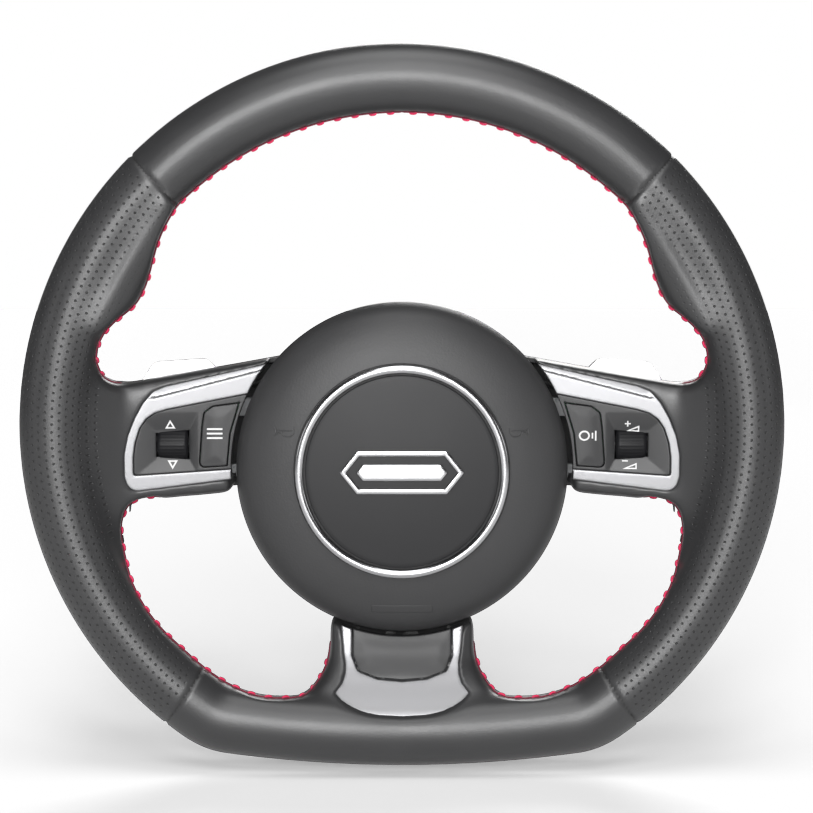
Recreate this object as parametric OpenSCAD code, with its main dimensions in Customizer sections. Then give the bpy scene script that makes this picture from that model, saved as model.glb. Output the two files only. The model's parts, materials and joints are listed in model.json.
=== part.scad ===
// Flat-bottomed, leather-covered steering wheel with an airbag module that presses as the horn,
// two switch panels with rollers, and two shift paddles.
// Millimetres. +Z is up, +X is the driver's right, and the driver sits towards -Y.
// The origin is on the column axis, at mid-length of the hub bore.

/* [Rim] */
// Overall width across the rim
rim_w = 368; // [350:1:450]
// Column axis down to the flattened bottom
rim_flat = 164.5; // [160:0.5:200]
// Grip thickness seen from the front
grip_w = 33; // [29:0.5:37]
// Grip thickness from front to back
grip_d = 30; // [27:0.5:36]
// Outer radius where the round rim turns into the flattened bottom
corner_r = 46; // [40:1:60]
// Outer radius of the slight bow along the bottom
bow_r = 623; // [400:1:900]
// Rim plane in front of the middle of the hub bore
rim_ahead = 60; // [56:1:75]
// How far each thumb rest swells into the upper opening
thumb_rise = 11.2; // [6:0.2:14]
// Leather thickness
leather_t = 1.2; // [0.8:0.1:1.6]
// Height of the upper seams above the axis, as an angle
seam_up = 45.5; // [43:0.5:50]
// Stitching thread thickness
thread_d = 0.9; // [0.6:0.1:1.2]

/* [Armature] */
// Diameter of the rod inside the rim
core_d = 12; // [10:0.5:14]
// Thickness of the hub plate
plate_t = 6; // [5:0.5:8]
// Radius of the hub plate
plate_r = 56; // [54:1:60]
// Thickness of the spoke webs
web_t = 6; // [4:0.5:7]
// Diameter of the hub bore that takes the column's splines
bore_d = 18; // [14:0.5:22]
// Length of the hub bore
bore_len = 20; // [16:1:26]
// Outer diameter of the steel hub insert
insert_d = 28; // [26:1:32]

/* [Airbag module] */
// Radius of the airbag cover
cover_r = 81; // [67:1:84]
// Drop of the cover's centre below the column axis
cover_drop = 20; // [14:1:24]
// Shadow gap between the cover and the spoke trims
hub_gap = 2.5; // [2:0.1:3.5]
// Wall thickness of the cover
cover_t = 3; // [2.5:0.1:4]
// Outer radius of the bright ring
ring_r = 51.5; // [40:0.5:54]
// Width of the bright ring
ring_w = 4; // [3:0.2:5]
// Width and height of the badge
badge = [60, 21]; // [30:1:80]
// Horn travel
horn_travel = 2; // [1.5:0.1:2.2]
// Radius of the circle that the three guide posts stand on
post_circle = 45; // [44:0.5:47]
// Diameter of the guide posts
post_d = 6; // [5:0.5:7]

/* [Spokes] */
// Distance from the rim's inner edge to the end of a side trim
trim_back = 15.7; // [14:0.1:20]
// Width of the silver band round a switch panel
band_w = 4.6; // [4:0.1:5.5]
// Thickness of trims and panels
trim_t = 2.5; // [2:0.1:3]
// Half width of the bottom spoke
foot_half = 35.5; // [33:0.5:40]
// Wall thickness of the plastic back covers
shell_t = 2; // [1.6:0.1:3]

/* [Controls] */
// Radius of a roller
roller_r = 8.5; // [8:0.1:8.8]
// Length of a roller
roller_w = 15; // [12:0.5:16]
// Diameter of a roller's axle
axle_d = 2.4; // [2:0.1:3]
// Travel of a button or of a pressed roller
button_travel = 0.8; // [0.5:0.1:1]
// Distance of a paddle's pivot from the column axis
pivot_x = 62; // [60:0.5:64]
// Diameter of a paddle's pivot pin
pin_d = 4; // [3:0.5:5]
// Thickness of a paddle
paddle_t = 3; // [2.5:0.1:4]
// Top of a paddle above the column axis
paddle_top = 31; // [29:0.5:36]

/* [Hidden] */
$fn = 32;

arc_step = 0.04;   // how much thinner each arc of the rim is than the next one
slip = 0.05;       // radial clearance of a pin or post that turns or slides
fit_gap = 0.3;     // gap between plastic pieces that are put together
far = 60;          // how far a cutter reaches past the piece that it cuts
rim_r = rim_w / 2;
in_r = rim_r - grip_w;
in_z = grip_w - rim_flat;
y_rim = -rim_ahead;
gap_r = cover_r + hub_gap;
hub_c = [0, -cover_drop];
trim_end = in_r - trim_back;

// The rim's outline is three arcs: the round rim, a corner arc and the bow along the bottom.
bow_z = bow_r - rim_flat;
corner_z = (pow(rim_r - corner_r, 2) + bow_z * bow_z - pow(bow_r - corner_r, 2)) / (2 * bow_z);
corner_x = sqrt(pow(rim_r - corner_r, 2) - corner_z * corner_z);
corner_top = atan2(corner_z, corner_x);
corner_low = atan2(corner_z - bow_z, corner_x);

// Front to back, from the hub plate outwards.
plate_back = 2 - bore_len / 2;
plate_front = plate_back - plate_t;
plate_c = [0, -12];
web_up = [3.2, 12.2];
web_down = [-29, -21];
web_foot = [9, 19];
can_back = plate_front - 10;
can_front = y_rim + 14;
can_r = cover_r - 23;
bowl_r = cover_r - 3;
bowl_back = bore_len / 2 - 2;
bowl_front = y_rim + 22;
shell_y = [y_rim + 35, y_rim + 49];
back_y = [y_rim + 31, y_rim + 38];
face_y = [y_rim + 7, y_rim + 12];

// A level that runs straight from the end of a side trim (first value) to the hub gap (second).
function level(y, x) = y[0] + (y[1] - y[0]) * (trim_end - x) / (trim_end - gap_r);
hub_x = 0.7 * gap_r;
root_x = in_r + 3;

// The bottom spoke's front face, as points of (y, z) from the hub down to the rim.
foot_z = -cover_drop - gap_r;
foot_face = [[y_rim + 14, foot_z + 20], [y_rim + 12, foot_z], [y_rim + 8, in_z + 16],
    [y_rim, in_z + 4], [y_rim - 9.5, in_z - 7], [y_rim - 16, in_z - 15]];

roller_x = trim_end - 23.3;
roller_z = -8.7;
roller_y = level(face_y, roller_x) + 7.5;
window = [roller_w + 1, 11.5];
well = [[roller_x - 11, -19.8], [roller_x + 11, 2]];
lip_y = level(face_y, gap_r - 6) + 1 + trim_t + fit_gap;
lip_w = 0.9;
tray_front = face_y[1] + 4.3;
tray_back = y_rim + 22;
well_back = roller_y + roller_r + button_travel + 3;
board_t = 1.6;
pivot_y = 0;
barrel_r = 4;
barrel_h = 25;
boss_at = [trim_end - 36, 19.5];
cover_bosses = [[22, 34], [24, -56]];
lead_hole = [42, 26];
lead_d = 3;

// The bottom spoke's back, as a straight slope from the hub gap to the rim.
function foot_back(z) = y_rim + 27 + 11 * (z - in_z) / (foot_z - in_z);

// ---- Helpers ----

// Extrudes a front view outline (x, z) between two values of y.
module front_block(y0, y1) {
    translate([0, y1, 0])
        rotate([90, 0, 0])
            linear_extrude(y1 - y0)
                children();
}

// Extrudes a plan outline (x, y) between two values of z.
module plan_block(points, z0, z1) {
    translate([0, 0, z0])
        linear_extrude(z1 - z0)
            polygon(points);
}

// Extrudes a side view outline (y, z) between two values of x.
module side_block(points, x0, x1) {
    translate([x0, 0, 0])
        rotate([90, 0, 90])
            linear_extrude(x1 - x0)
                polygon(points);
}

// A cylinder along Y at a point (x, z).
module peg(at, r, y0, y1) {
    translate([at[0], y1, at[1]])
        rotate([90, 0, 0])
            cylinder(r = r, h = y1 - y0);
}

// Turns a section (distance from the centre, distance forward) about a line along Y.
module turned(centre, a = 0, b = 360) {
    translate([centre[0], 0, centre[1]])
        rotate([90, 0, 0])
            rotate_extrude(start = a, angle = b - a)
                children();
}

module right_and_left() {
    children();
    mirror([1, 0, 0])
        children();
}

module rounded(r) {
    offset(r = r)
        offset(delta = -r)
            children();
}

// A strip of even thickness along a list of points.
function strip(points, half) = concat(
    [for (p = points) [p[0], p[1] - half]],
    [for (i = [len(points) - 1:-1:0]) [points[i][0], points[i][1] + half]]);

// The same along a side view path, with the thickness measured along Y.
function strip_y(points, half) = concat(
    [for (p = points) [p[0] - half, p[1]]],
    [for (i = [len(points) - 1:-1:0]) [points[i][0] + half, points[i][1]]]);

// The right half of an outline, from top to bottom, completed with its mirror image.
function both_sides(points) = concat(points,
    [for (i = [len(points) - 1:-1:0]) if (points[i][0] > 0) [-points[i][0], points[i][1]]]);

// ---- Rim ----

// The grip's section, with its outer edge at x = 0 and inset on all sides.
module grip_section(inset = 0, width = grip_w) {
    sides = 24;
    a = (width / 2 - inset) / cos(180 / sides);
    b = (grip_d / 2 - inset) / cos(180 / sides);
    polygon([for (i = [0:sides - 1]) [a * cos((i + 0.5) * 360 / sides) - width / 2,
        b * sin((i + 0.5) * 360 / sides)]]);
}

module round_rim(a, b) {
    turned([0, 0], a, b)
        translate([rim_r, rim_ahead])
            children();
}

// The corners and the bow along the bottom. Each arc is a hair thinner than the one that it runs
// into, so that its end is buried there; reach is how many degrees the corners run into the round rim.
module flat_rim(reach = 0) {
    turned([0, bow_z], -180 - corner_low - 0.08, corner_low + 0.08)
        translate([bow_r, rim_ahead])
            grip_or_rod($inset + 2 * arc_step);
    right_and_left()
        turned([corner_x, corner_z], corner_low, corner_top + reach)
            translate([corner_r, rim_ahead])
                grip_or_rod($inset + arc_step);
}

// The section that is swept along the bottom: the rod when $rod is set, and otherwise the grip.
module grip_or_rod(inset) {
    if ($rod)
        translate([-grip_w / 2, 0])
            circle(core_d / 2 - inset);
    else
        grip_section(inset);
}

// The swelling on the inner side of the rim that the thumb rests on.
module thumb_rest(inset) {
    peak = in_r - thumb_rise;
    intersection() {
        turned([0, 0], 12, 48)
            translate([rim_r, rim_ahead])
                grip_section(inset, grip_w + thumb_rise);
        front_block(y_rim - far, y_rim + far)
            offset(delta = -inset)
                rounded(4)
                    polygon([
                        (in_r + 0.5) * [cos(45.5), sin(45.5)],
                        (peak + 1) * [cos(31), sin(31)],
                        peak * [cos(26), sin(26)],
                        (in_r + 0.5) * [cos(17), sin(17)],
                        (in_r + 9) * [cos(15), sin(15)],
                        (in_r + 9) * [cos(46), sin(46)]]);
    }
}

// Front view of a side spoke with its roots, right-hand side.
module spoke_outline() {
    notch_r = 11;
    notch = [in_r - 15.5, 32];
    difference() {
        polygon([[hub_x, 34], [notch[0], notch[1] - notch_r], [in_r + 6, notch[1] - notch_r],
            [in_r + 6, -70], in_r * [cos(32), -sin(32)], [in_r - 17, -63], [in_r - 15, -51],
            [in_r - 16, -42], [in_r - 20, -36.5], [hub_x, -31]]);
        translate(notch)
            circle(notch_r);
    }
    difference() {
        translate([notch[0], notch[1] - notch_r])
            square([in_r + 6 - notch[0], notch_r]);
        translate(notch)
            circle(notch_r);
    }
}

module spoke_body(inset) {
    intersection() {
        front_block(y_rim - far, far)
            offset(delta = -inset)
                spoke_outline();
        plan_block([
            [hub_x, level(face_y, hub_x) + 0.5 + inset],
            [trim_end, face_y[0] + 0.5 + inset],
            [root_x + 3, y_rim - 9 + inset],
            [root_x + 3, y_rim + 17 - inset],
            [trim_end, back_y[0] - inset],
            [hub_x, level(back_y, hub_x) - inset]], -90, 60);
    }
}

module foot_outline() {
    polygon(both_sides([[foot_half, foot_z + 25], [foot_half, in_z + 17],
        [foot_half + 3, in_z + 9], [foot_half + 10, in_z + 1.5], [foot_half + 18, in_z - 5]]));
}

module foot_body(inset) {
    front = [for (p = foot_face) [p[0] + 0.5 + inset, p[1]]];
    intersection() {
        front_block(y_rim - far, far)
            offset(delta = -inset)
                foot_outline();
        side_block(concat(front, [[y_rim + 13 - inset, in_z - 15], [y_rim + 17 - inset, in_z - 5],
            [foot_back(in_z) - inset, in_z], [foot_back(foot_z) - inset, foot_z],
            [foot_back(foot_z) - inset, foot_z + 20]]), -far, far);
    }
}

// Everything inside the hub's shadow gap, where no spoke trim or leather reaches.
module hub_clear(r = gap_r) {
    peg(hub_c, r, y_rim - far, far);
}

module core_rod() {
    round_rim(corner_top, 180 - corner_top)
        translate([-grip_w / 2, 0])
            circle(core_d / 2);
    flat_rim(reach = 1, $rod = true, $inset = 0);
}

// The webs of the armature run from the rod in the rim back to the hub plate.
module webs(grow = 0) {
    plate_mid = plate_front + plate_t / 2;
    side = strip([[44, plate_mid], [plate_r, plate_mid], [trim_end - 35, y_rim + 32],
        [trim_end - 7, y_rim + 26], [trim_end + 4, y_rim + 16], [in_r, y_rim + 4],
        [in_r + 16, y_rim]], web_t / 2 + grow);
    foot = strip_y([[y_rim, in_z - 16], [y_rim + 3, in_z - 3], [y_rim + 22, in_z + 7],
        [y_rim + 31, foot_z + 3], [plate_mid, plate_c[1] - plate_r + 2], [plate_mid, -54]],
        web_t / 2 + grow);
    right_and_left() {
        for (z = [web_up, web_down])
            plan_block(side, z[0] - grow, z[1] + grow);
        side_block(foot, web_foot[0] - grow, web_foot[1] + grow);
    }
}

module around(radius, angles, centre = hub_c) {
    for (a = angles)
        translate([centre[0] + radius * cos(a), 0, centre[1] + radius * sin(a)])
            children();
}

post_angles = [90, 210, 330];
contact_angles = [30, 150, 270];
nut_angles = [45, 135, 225, 315];
nut_circle = can_r - 19;
stud_r = 2;

module armature() {
    color("silver")
        difference() {
            union() {
                core_rod();
                webs();
                peg(plate_c, plate_r, plate_front, plate_back);
                peg([0, 0], insert_d / 2 + 3, plate_front, bore_len / 2);
            }
            peg([0, 0], insert_d / 2, plate_front - far, far);
            around(post_circle, post_angles)
                peg([0, 0], post_d / 2 + slip, plate_front - far, far);
            right_and_left() {
                peg(lead_hole, lead_d / 2 + 2, plate_front - far, far);
                for (at = cover_bosses)
                    peg(at, 1.75, plate_front - 1, far);
                for (z = [-9, 9])
                    peg([47, z], 1.5, plate_front - 1, far);
            }
            around(post_circle, contact_angles)
                peg([0, 0], 2, plate_front - far, far);
        }
}

module hub_insert() {
    color("dimgray")
        difference() {
            peg([0, 0], insert_d / 2, -bore_len / 2, bore_len / 2);
            peg([0, 0], bore_d / 2, -far, far);
        }
}

module foam_shape(inset) {
    round_rim(corner_top, 180 - corner_top)
        grip_section(inset);
    flat_rim(reach = 1, $rod = false, $inset = inset);
    right_and_left() {
        thumb_rest(inset);
        spoke_body(inset);
    }
    foot_body(inset);
}

module spoke_pockets() {
    right_and_left()
        front_block(y_rim - far, far)
            offset(delta = fit_gap)
                trim_outline();
    intersection() {
        foot_slab(-20, trim_t + fit_gap);
        front_block(y_rim - far, far)
            offset(delta = fit_gap)
                foot_trim_outline();
    }
}

module rim_foam() {
    color("dimgray")
        difference() {
            foam_shape(leather_t);
            core_rod();
            webs();
            spoke_pockets();
            hub_clear();
        }
}

// One leather panel is the skin between the grip's surface and the foam.
module leather_top() {
    color([0.13, 0.13, 0.14])
        difference() {
            round_rim(seam_up, 180 - seam_up)
                difference() {
                    grip_section(0);
                    grip_section(leather_t);
                }
            thread_path(thread_d / 2, 1);
            right_and_left()
                thumb_rest(0);
        }
}

module leather_side() {
    color([0.13, 0.13, 0.14])
        difference() {
            union() {
                round_rim(corner_top, seam_up)
                    grip_section(0);
                thumb_rest(0);
                spoke_body(0);
            }
            round_rim(corner_top - 3, seam_up + 3)
                grip_section(leather_t);
            thumb_rest(leather_t);
            spoke_body(leather_t);
            webs();
            spoke_pockets();
            hub_clear();
            thread_path(thread_d / 2, 1);
        }
}

module leather_right() {
    leather_side();
}

module leather_left() {
    mirror([1, 0, 0])
        leather_side();
}

module leather_bottom() {
    color([0.13, 0.13, 0.14])
        difference() {
            union() {
                flat_rim($rod = false, $inset = 0);
                foot_body(0);
            }
            flat_rim(reach = 1, $rod = false, $inset = leather_t);
            foot_body(leather_t);
            webs();
            spoke_pockets();
            hub_clear();
            thread_path(thread_d / 2, 1);
        }
}

// The thread lies half sunk along the rim's inner edge, away from the thumb rests and spokes.
module thread_path(r, extra = 0) {
    turned([0, 0], seam_up + 2 - extra, 178 - seam_up + extra)
        translate([in_r, rim_ahead])
            circle(r);
    right_and_left()
        turned([0, 0], corner_top - 0.01, -34 + extra)
            translate([in_r, rim_ahead])
                circle(r);
}

module stitch_thread() {
    color("crimson")
        thread_path(thread_d / 2);
}

// ---- Spoke trims ----

// Front view of a side trim, carried on under the hub.
module trim_shape() {
    rounded(6)
        polygon([[hub_x, 32.4], [trim_end - 20, 20.2], [trim_end - 14.5, 17.9],
            [trim_end - 9.5, 12.3], [trim_end - 5.2, 4.6], [trim_end - 1.8, -4], [trim_end, -13],
            [trim_end, -24], [trim_end - 2.5, -31.6], [gap_r, -25.8], [hub_x - 20, -21],
            [hub_x - 20, 35]]);
}

module trim_outline() {
    difference() {
        trim_shape();
        translate(hub_c)
            circle(gap_r);
    }
}

module panel_outline() {
    offset(delta = -band_w)
        rounded(6)
            polygon([[hub_x, 24], [trim_end - 20, 13.3], [trim_end - 13, 11.2],
                [trim_end - 7.5, 7.4], [trim_end - 3.6, 1.6], [trim_end - 1, -6.5],
                [trim_end, -14], [trim_end, -24], [trim_end - 2.5, -28.2], [gap_r, -25.4],
                [hub_x - 20, -22], [hub_x - 20, 32]]);
}

// The front face of a side spoke as a slab between two depths behind the face.
module face_slab(d0, d1) {
    x = [0, rim_r];
    plan_block([[x[0], level(face_y, x[0]) + d0], [x[1], level(face_y, x[1]) + d0],
        [x[1], level(face_y, x[1]) + d1], [x[0], level(face_y, x[0]) + d1]], -far, far);
}

module side_trim() {
    color("gainsboro")
        difference() {
            union() {
                intersection() {
                    face_slab(0, trim_t);
                    front_block(y_rim - far, far)
                        trim_outline();
                }
                intersection() {
                    face_slab(trim_t / 2, 12);
                    front_block(y_rim, y_rim + 15.5)
                        difference() {
                            trim_outline();
                            offset(delta = -1.6)
                                trim_shape();
                        }
                }
                peg(boss_at, 2.6, level(face_y, boss_at[0]) + 1, -22);
            }
            front_block(y_rim - far, tray_front)
                panel_outline();
            hub_clear();
            peg(boss_at, 1.2, -34, far);
        }
}

module trim_right() {
    side_trim();
}

module trim_left() {
    mirror([1, 0, 0])
        side_trim();
}

module foot_trim_outline() {
    rounded(1)
        polygon(both_sides([[30.5, foot_z + 8], [29, in_z + 20], [28.2, in_z + 15.5],
            [28.3, in_z + 11], [29.6, in_z + 7], [33.2, in_z + 2.6], [30, in_z - 0.6],
            [26, in_z - 3], [20, in_z - 5.4], [13, in_z - 6.9], [0, in_z - 7.6]]));
}

module foot_insert_outline() {
    rounded(3)
        polygon(both_sides([[24.5, foot_z + 12], [24.5, in_z + 19], [21.5, in_z + 12],
            [12, in_z + 8.6], [0, in_z + 7.6]]));
}

module foot_slab(d0, d1) {
    side_block(concat([for (p = foot_face) [p[0] + d0, p[1]]],
        [for (i = [len(foot_face) - 1:-1:0]) [foot_face[i][0] + d1, foot_face[i][1]]]), -far, far);
}

module trim_bottom() {
    color("gainsboro")
        difference() {
            intersection() {
                foot_slab(0, trim_t);
                front_block(y_rim - far, far)
                    foot_trim_outline();
            }
            front_block(y_rim - far, far)
                foot_insert_outline();
            hub_clear();
        }
}

module trim_bottom_insert() {
    color([0.12, 0.12, 0.13])
        difference() {
            intersection() {
                foot_slab(0.8, trim_t);
                front_block(y_rim - far, far)
                    offset(delta = -0.1)
                        foot_insert_outline();
            }
            hub_clear();
        }
}

// ---- Switch panels ----

// A touch pad beside the hub: its hub side follows the shadow gap.
module button_outline(shrink = 0) {
    offset(delta = -shrink)
        difference() {
            rounded(2.5)
                polygon([[gap_r - 10, 12.4], [gap_r + 9, 10], [gap_r + 13, 7], [gap_r + 14, 0],
                    [gap_r + 15.5, -19.8], [gap_r - 10, -18.2]]);
            translate(hub_c)
                circle(gap_r + 2.3);
        }
}

module roller_window(extra = 0) {
    translate([roller_x, roller_z])
        square([window[0] + 2 * extra, window[1] + 2 * extra], center = true);
}

module switch_panel() {
    color([0.12, 0.12, 0.13])
        difference() {
            intersection() {
                face_slab(1, 1 + trim_t);
                front_block(y_rim - far, far)
                    offset(delta = -0.1)
                        panel_outline();
            }
            hub_clear(gap_r + 0.1);
            front_block(y_rim - far, far)
                button_outline(-fit_gap);
            front_block(y_rim - far, far)
                roller_window();
            translate([roller_x - window[0] / 2, roller_y, roller_z])
                rotate([0, 90, 0])
                    cylinder(r = roller_r + 0.6, h = window[0]);
        }
}

module switch_panel_right() {
    switch_panel();
}

module switch_panel_left() {
    mirror([1, 0, 0])
        switch_panel();
}

module tray_outline(inset = 0) {
    offset(delta = -2 - inset)
        panel_outline();
}

module well_block(inset, y0, y1) {
    translate([well[0][0] + inset, y0, well[0][1] + inset])
        cube([well[1][0] - well[0][0] - 2 * inset, y1 - y0, well[1][1] - well[0][1] - 2 * inset]);
}

module switch_housing() {
    color([0.2, 0.2, 0.21])
        difference() {
            union() {
                front_block(tray_front, tray_back)
                    tray_outline();
                well_block(0, tray_back - 1, well_back);
            }
            front_block(tray_front - 1, tray_back - 1.2)
                tray_outline(1.2);
            well_block(1.2, tray_front - 1, well_back - 1.2);
            hub_clear(gap_r + 0.8);
            front_block(tray_front - 1, lip_y + 1 + button_travel + fit_gap)
                button_outline(-lip_w - fit_gap);
            peg(boss_at, 3.2, tray_front - 1, far);
        }
}

module switch_housing_right() {
    switch_housing();
}

module switch_housing_left() {
    mirror([1, 0, 0])
        switch_housing();
}

// The board carries the push switch behind the pad, and stops short of the roller's well.
module switch_board() {
    color("darkgreen")
        difference() {
            front_block(tray_back - 1.2 - board_t, tray_back - 1.2)
                intersection() {
                    tray_outline(1.5);
                    translate([0, -far])
                        square([well[0][0] - 0.5, 2 * far]);
                }
            hub_clear(gap_r + 2);
            peg(boss_at, 3.5, y_rim, far);
        }
}

module switch_board_right() {
    switch_board();
}

module switch_board_left() {
    mirror([1, 0, 0])
        switch_board();
}

// A pad with a lip that holds it behind the panel.
module push_pad() {
    union() {
        front_block(level(face_y, gap_r + 8) + 0.6, lip_y + 1)
            button_outline();
        front_block(lip_y, lip_y + 1)
            button_outline(-lip_w);
    }
}

module mode_button() {
    color([0.16, 0.16, 0.17])
        mirror([1, 0, 0])
            push_pad();
}

module voice_button() {
    color([0.16, 0.16, 0.17])
        push_pad();
}

// The cradle holds the roller's axle between two cheeks and slides in the well when pressed.
module cradle() {
    inner = well_back - 1.2 - button_travel - fit_gap;
    cheek = [roller_w / 2 + 0.3, window[0] / 2 + 1.2];
    color([0.3, 0.3, 0.32])
        difference() {
            union() {
                for (s = [-1, 1])
                    translate([roller_x + (s > 0 ? cheek[0] : -cheek[1]), roller_y - 3, roller_z - 4])
                        cube([cheek[1] - cheek[0], inner - roller_y + 3, 8]);
                translate([roller_x - cheek[1], inner - 1.2, roller_z - 6])
                    cube([2 * cheek[1], 1.2, 12]);
            }
            translate([roller_x - 20, roller_y, roller_z])
                rotate([0, 90, 0])
                    cylinder(r = axle_d / 2 + slip, h = 40);
        }
}

module cradle_right() {
    cradle();
}

module cradle_left() {
    mirror([1, 0, 0])
        cradle();
}

module roller() {
    ribs = 28;
    color([0.18, 0.18, 0.19])
        translate([roller_x - roller_w / 2, roller_y, roller_z])
            rotate([0, 90, 0])
                difference() {
                    union() {
                        cylinder(r = roller_r - 0.5, h = roller_w);
                        for (i = [0:ribs - 1])
                            rotate([0, 0, i * 360 / ribs])
                                translate([roller_r - 0.9, -0.45, 1])
                                    cube([0.9, 0.9, roller_w - 2]);
                    }
                    translate([0, 0, -1])
                        cylinder(r = axle_d / 2, h = roller_w + 2);
                }
}

module roller_right() {
    roller();
}

module roller_left() {
    mirror([1, 0, 0])
        roller();
}

module roller_axle() {
    color("lightgray")
        translate([roller_x - window[0] / 2 - 1, roller_y, roller_z])
            rotate([0, 90, 0])
                cylinder(r = axle_d / 2, h = window[0] + 2);
}

module roller_axle_right() {
    roller_axle();
}

module roller_axle_left() {
    mirror([1, 0, 0])
        roller_axle();
}

// ---- Back covers ----

module spoke_back() {
    inner_x = bowl_r + 0.5;
    color([0.15, 0.15, 0.16])
        difference() {
            intersection() {
                front_block(y_rim, far)
                    offset(delta = -1)
                        spoke_outline();
                plan_block([
                    [hub_x, level(back_y, hub_x) + fit_gap], [trim_end + 1, back_y[0] + fit_gap],
                    [trim_end + 1, shell_y[0]], [hub_x, level(shell_y, hub_x)]], -46, 60);
            }
            intersection() {
                front_block(y_rim, far)
                    offset(delta = -1 - shell_t)
                        spoke_outline();
                plan_block([
                    [hub_x, level(back_y, hub_x) - 1], [root_x, back_y[0] - 4],
                    [root_x, shell_y[0] - shell_t],
                    [trim_end, shell_y[0] - shell_t], [hub_x, level(shell_y, hub_x) - shell_t]],
                    -90, 60);
            }
            hub_clear(inner_x);
            peg(boss_at, 1.6, y_rim, far);
        }
}

module spoke_back_right() {
    spoke_back();
}

module spoke_back_left() {
    mirror([1, 0, 0])
        spoke_back();
}

module spoke_back_bottom() {
    color([0.15, 0.15, 0.16])
        difference() {
            side_block([[foot_back(foot_z) + fit_gap, foot_z + 20],
                [foot_back(foot_z) + fit_gap, foot_z], [foot_back(in_z + 6) + fit_gap, in_z + 6],
                [foot_back(in_z + 7) + shell_t + 1, in_z + 7], [y_rim + 47, foot_z + 3],
                [y_rim + 47, foot_z + 20]], -foot_half + 3, foot_half - 3);
            hub_clear(bowl_r + 0.5);
        }
}

module rear_cover() {
    color([0.15, 0.15, 0.16])
        difference() {
            union() {
                difference() {
                    peg(hub_c, bowl_r, bowl_front, bowl_back);
                    peg(hub_c, bowl_r - 2.5, bowl_front - 1, bowl_back - 2.5);
                }
                right_and_left()
                    for (at = cover_bosses)
                        peg(at, 3.5, plate_back, bowl_back - 1);
            }
            peg([0, 0], 24, -far, far);
            right_and_left() {
                for (at = cover_bosses)
                    peg(at, 1.75, -far, far);
                translate([40, bowl_front - 1, -34])
                    cube([60, -bowl_front - 11, 70]);
                translate([pivot_x - 2, -17, -barrel_h / 2 - 4.5])
                    cube([30, 17 + pivot_y + 4, barrel_h + 9]);
            }
            translate([-foot_half, bowl_front - 1, -130])
                cube([2 * foot_half, -bowl_front - 11, 60]);
        }
}

module cover_screws() {
    color("silver")
        right_and_left()
            for (at = cover_bosses) {
                peg(at, 1.75, plate_front + 1, bowl_back);
                peg(at, 3.4, bowl_back, bowl_back + 1.6);
            }
}

module trim_screws() {
    back = level(shell_y, boss_at[0]) + 1;
    color("silver")
        right_and_left() {
            peg(boss_at, 1.2, y_rim + 27, back);
            peg(boss_at, 2.4, back, back + 1.5);
        }
}

// ---- Paddles ----

module paddle_outline() {
    rounded(5)
        polygon([[pivot_x - 8, -11], [pivot_x + 18, -11], [pivot_x + 26, -22],
            [trim_end - 8, -20], [trim_end, -8], [trim_end, 14], [trim_end - 10, paddle_top - 1.5],
            [trim_end - 36, paddle_top], [pivot_x + 22, 16], [pivot_x + 18, 11],
            [pivot_x - 8, 11]]);
}

module paddle() {
    plan = strip([[pivot_x, pivot_y], [pivot_x + 22, pivot_y - 5.5],
        [pivot_x + 38, pivot_y - 7.5], [trim_end, pivot_y - 13]], paddle_t / 2);
    color("lightgray")
        difference() {
            union() {
                intersection() {
                    plan_block(plan, -far, far);
                    front_block(-far, far)
                        paddle_outline();
                }
                translate([pivot_x, pivot_y, -barrel_h / 2])
                    cylinder(r = barrel_r, h = barrel_h);
            }
            translate([pivot_x, pivot_y, -far])
                cylinder(r = pin_d / 2 + slip, h = 2 * far);
        }
}

module paddle_right() {
    paddle();
}

module paddle_left() {
    mirror([1, 0, 0])
        paddle();
}

module paddle_bracket() {
    ear = barrel_h / 2 + fit_gap;
    color("silver")
        difference() {
            union() {
                for (s = [-1, 1])
                    translate([0, 0, s > 0 ? ear : -ear - 3])
                        linear_extrude(3)
                            polygon([[42, plate_back], [64, plate_back], [pivot_x + 8, -9.5],
                                [pivot_x + 8, pivot_y + 2], [pivot_x + 4, pivot_y + 5],
                                [pivot_x - 4, pivot_y + 5], [52, plate_back + 3],
                                [42, plate_back + 3]]);
                translate([42, plate_back, -ear - 3])
                    cube([10, 3, 2 * ear + 6]);
            }
            translate([pivot_x, pivot_y, -far])
                cylinder(r = pin_d / 2, h = 2 * far);
            for (z = [-9, 9])
                peg([47, z], 1.5, -far, far);
        }
}

module paddle_bracket_right() {
    paddle_bracket();
}

module paddle_bracket_left() {
    mirror([1, 0, 0])
        paddle_bracket();
}

module paddle_pins() {
    reach = barrel_h / 2 + fit_gap + 3;
    color("gray")
        right_and_left()
            translate([pivot_x, pivot_y, -reach])
                cylinder(r = pin_d / 2, h = 2 * reach);
}

module paddle_switches() {
    ear = barrel_h / 2 + fit_gap;
    color([0.1, 0.1, 0.1])
        right_and_left()
            translate([pivot_x + 2, -9, -ear])
                cube([6, 4.3, 2 * ear]);
}

module bracket_screws() {
    color("silver")
        right_and_left()
            for (z = [-9, 9]) {
                peg([47, z], 1.5, plate_front + 1, plate_back + 3);
                peg([47, z], 2.7, plate_back + 3, plate_back + 4.8);
            }
}

// ---- Airbag module ----

cover_dome = [[0, 65.5], [45, 65], [60, 63], [70, 60.5], [76.5, 56.5], [80, 52], [81, 48]];
seat_y = rim_ahead + 5.5;

// The cover's outer profile as (radius, distance forward), pulled in by a wall thickness.
module cover_profile(t) {
    polygon(concat([for (p = cover_dome) [max(0, p[0] + cover_r - 81 - (p[0] > 0 ? t : 0)),
        p[1] + rim_ahead - 60 - t]], [[cover_r - t, 14 + rim_ahead - 30], [0, 14 + rim_ahead - 30]]));
}

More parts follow.
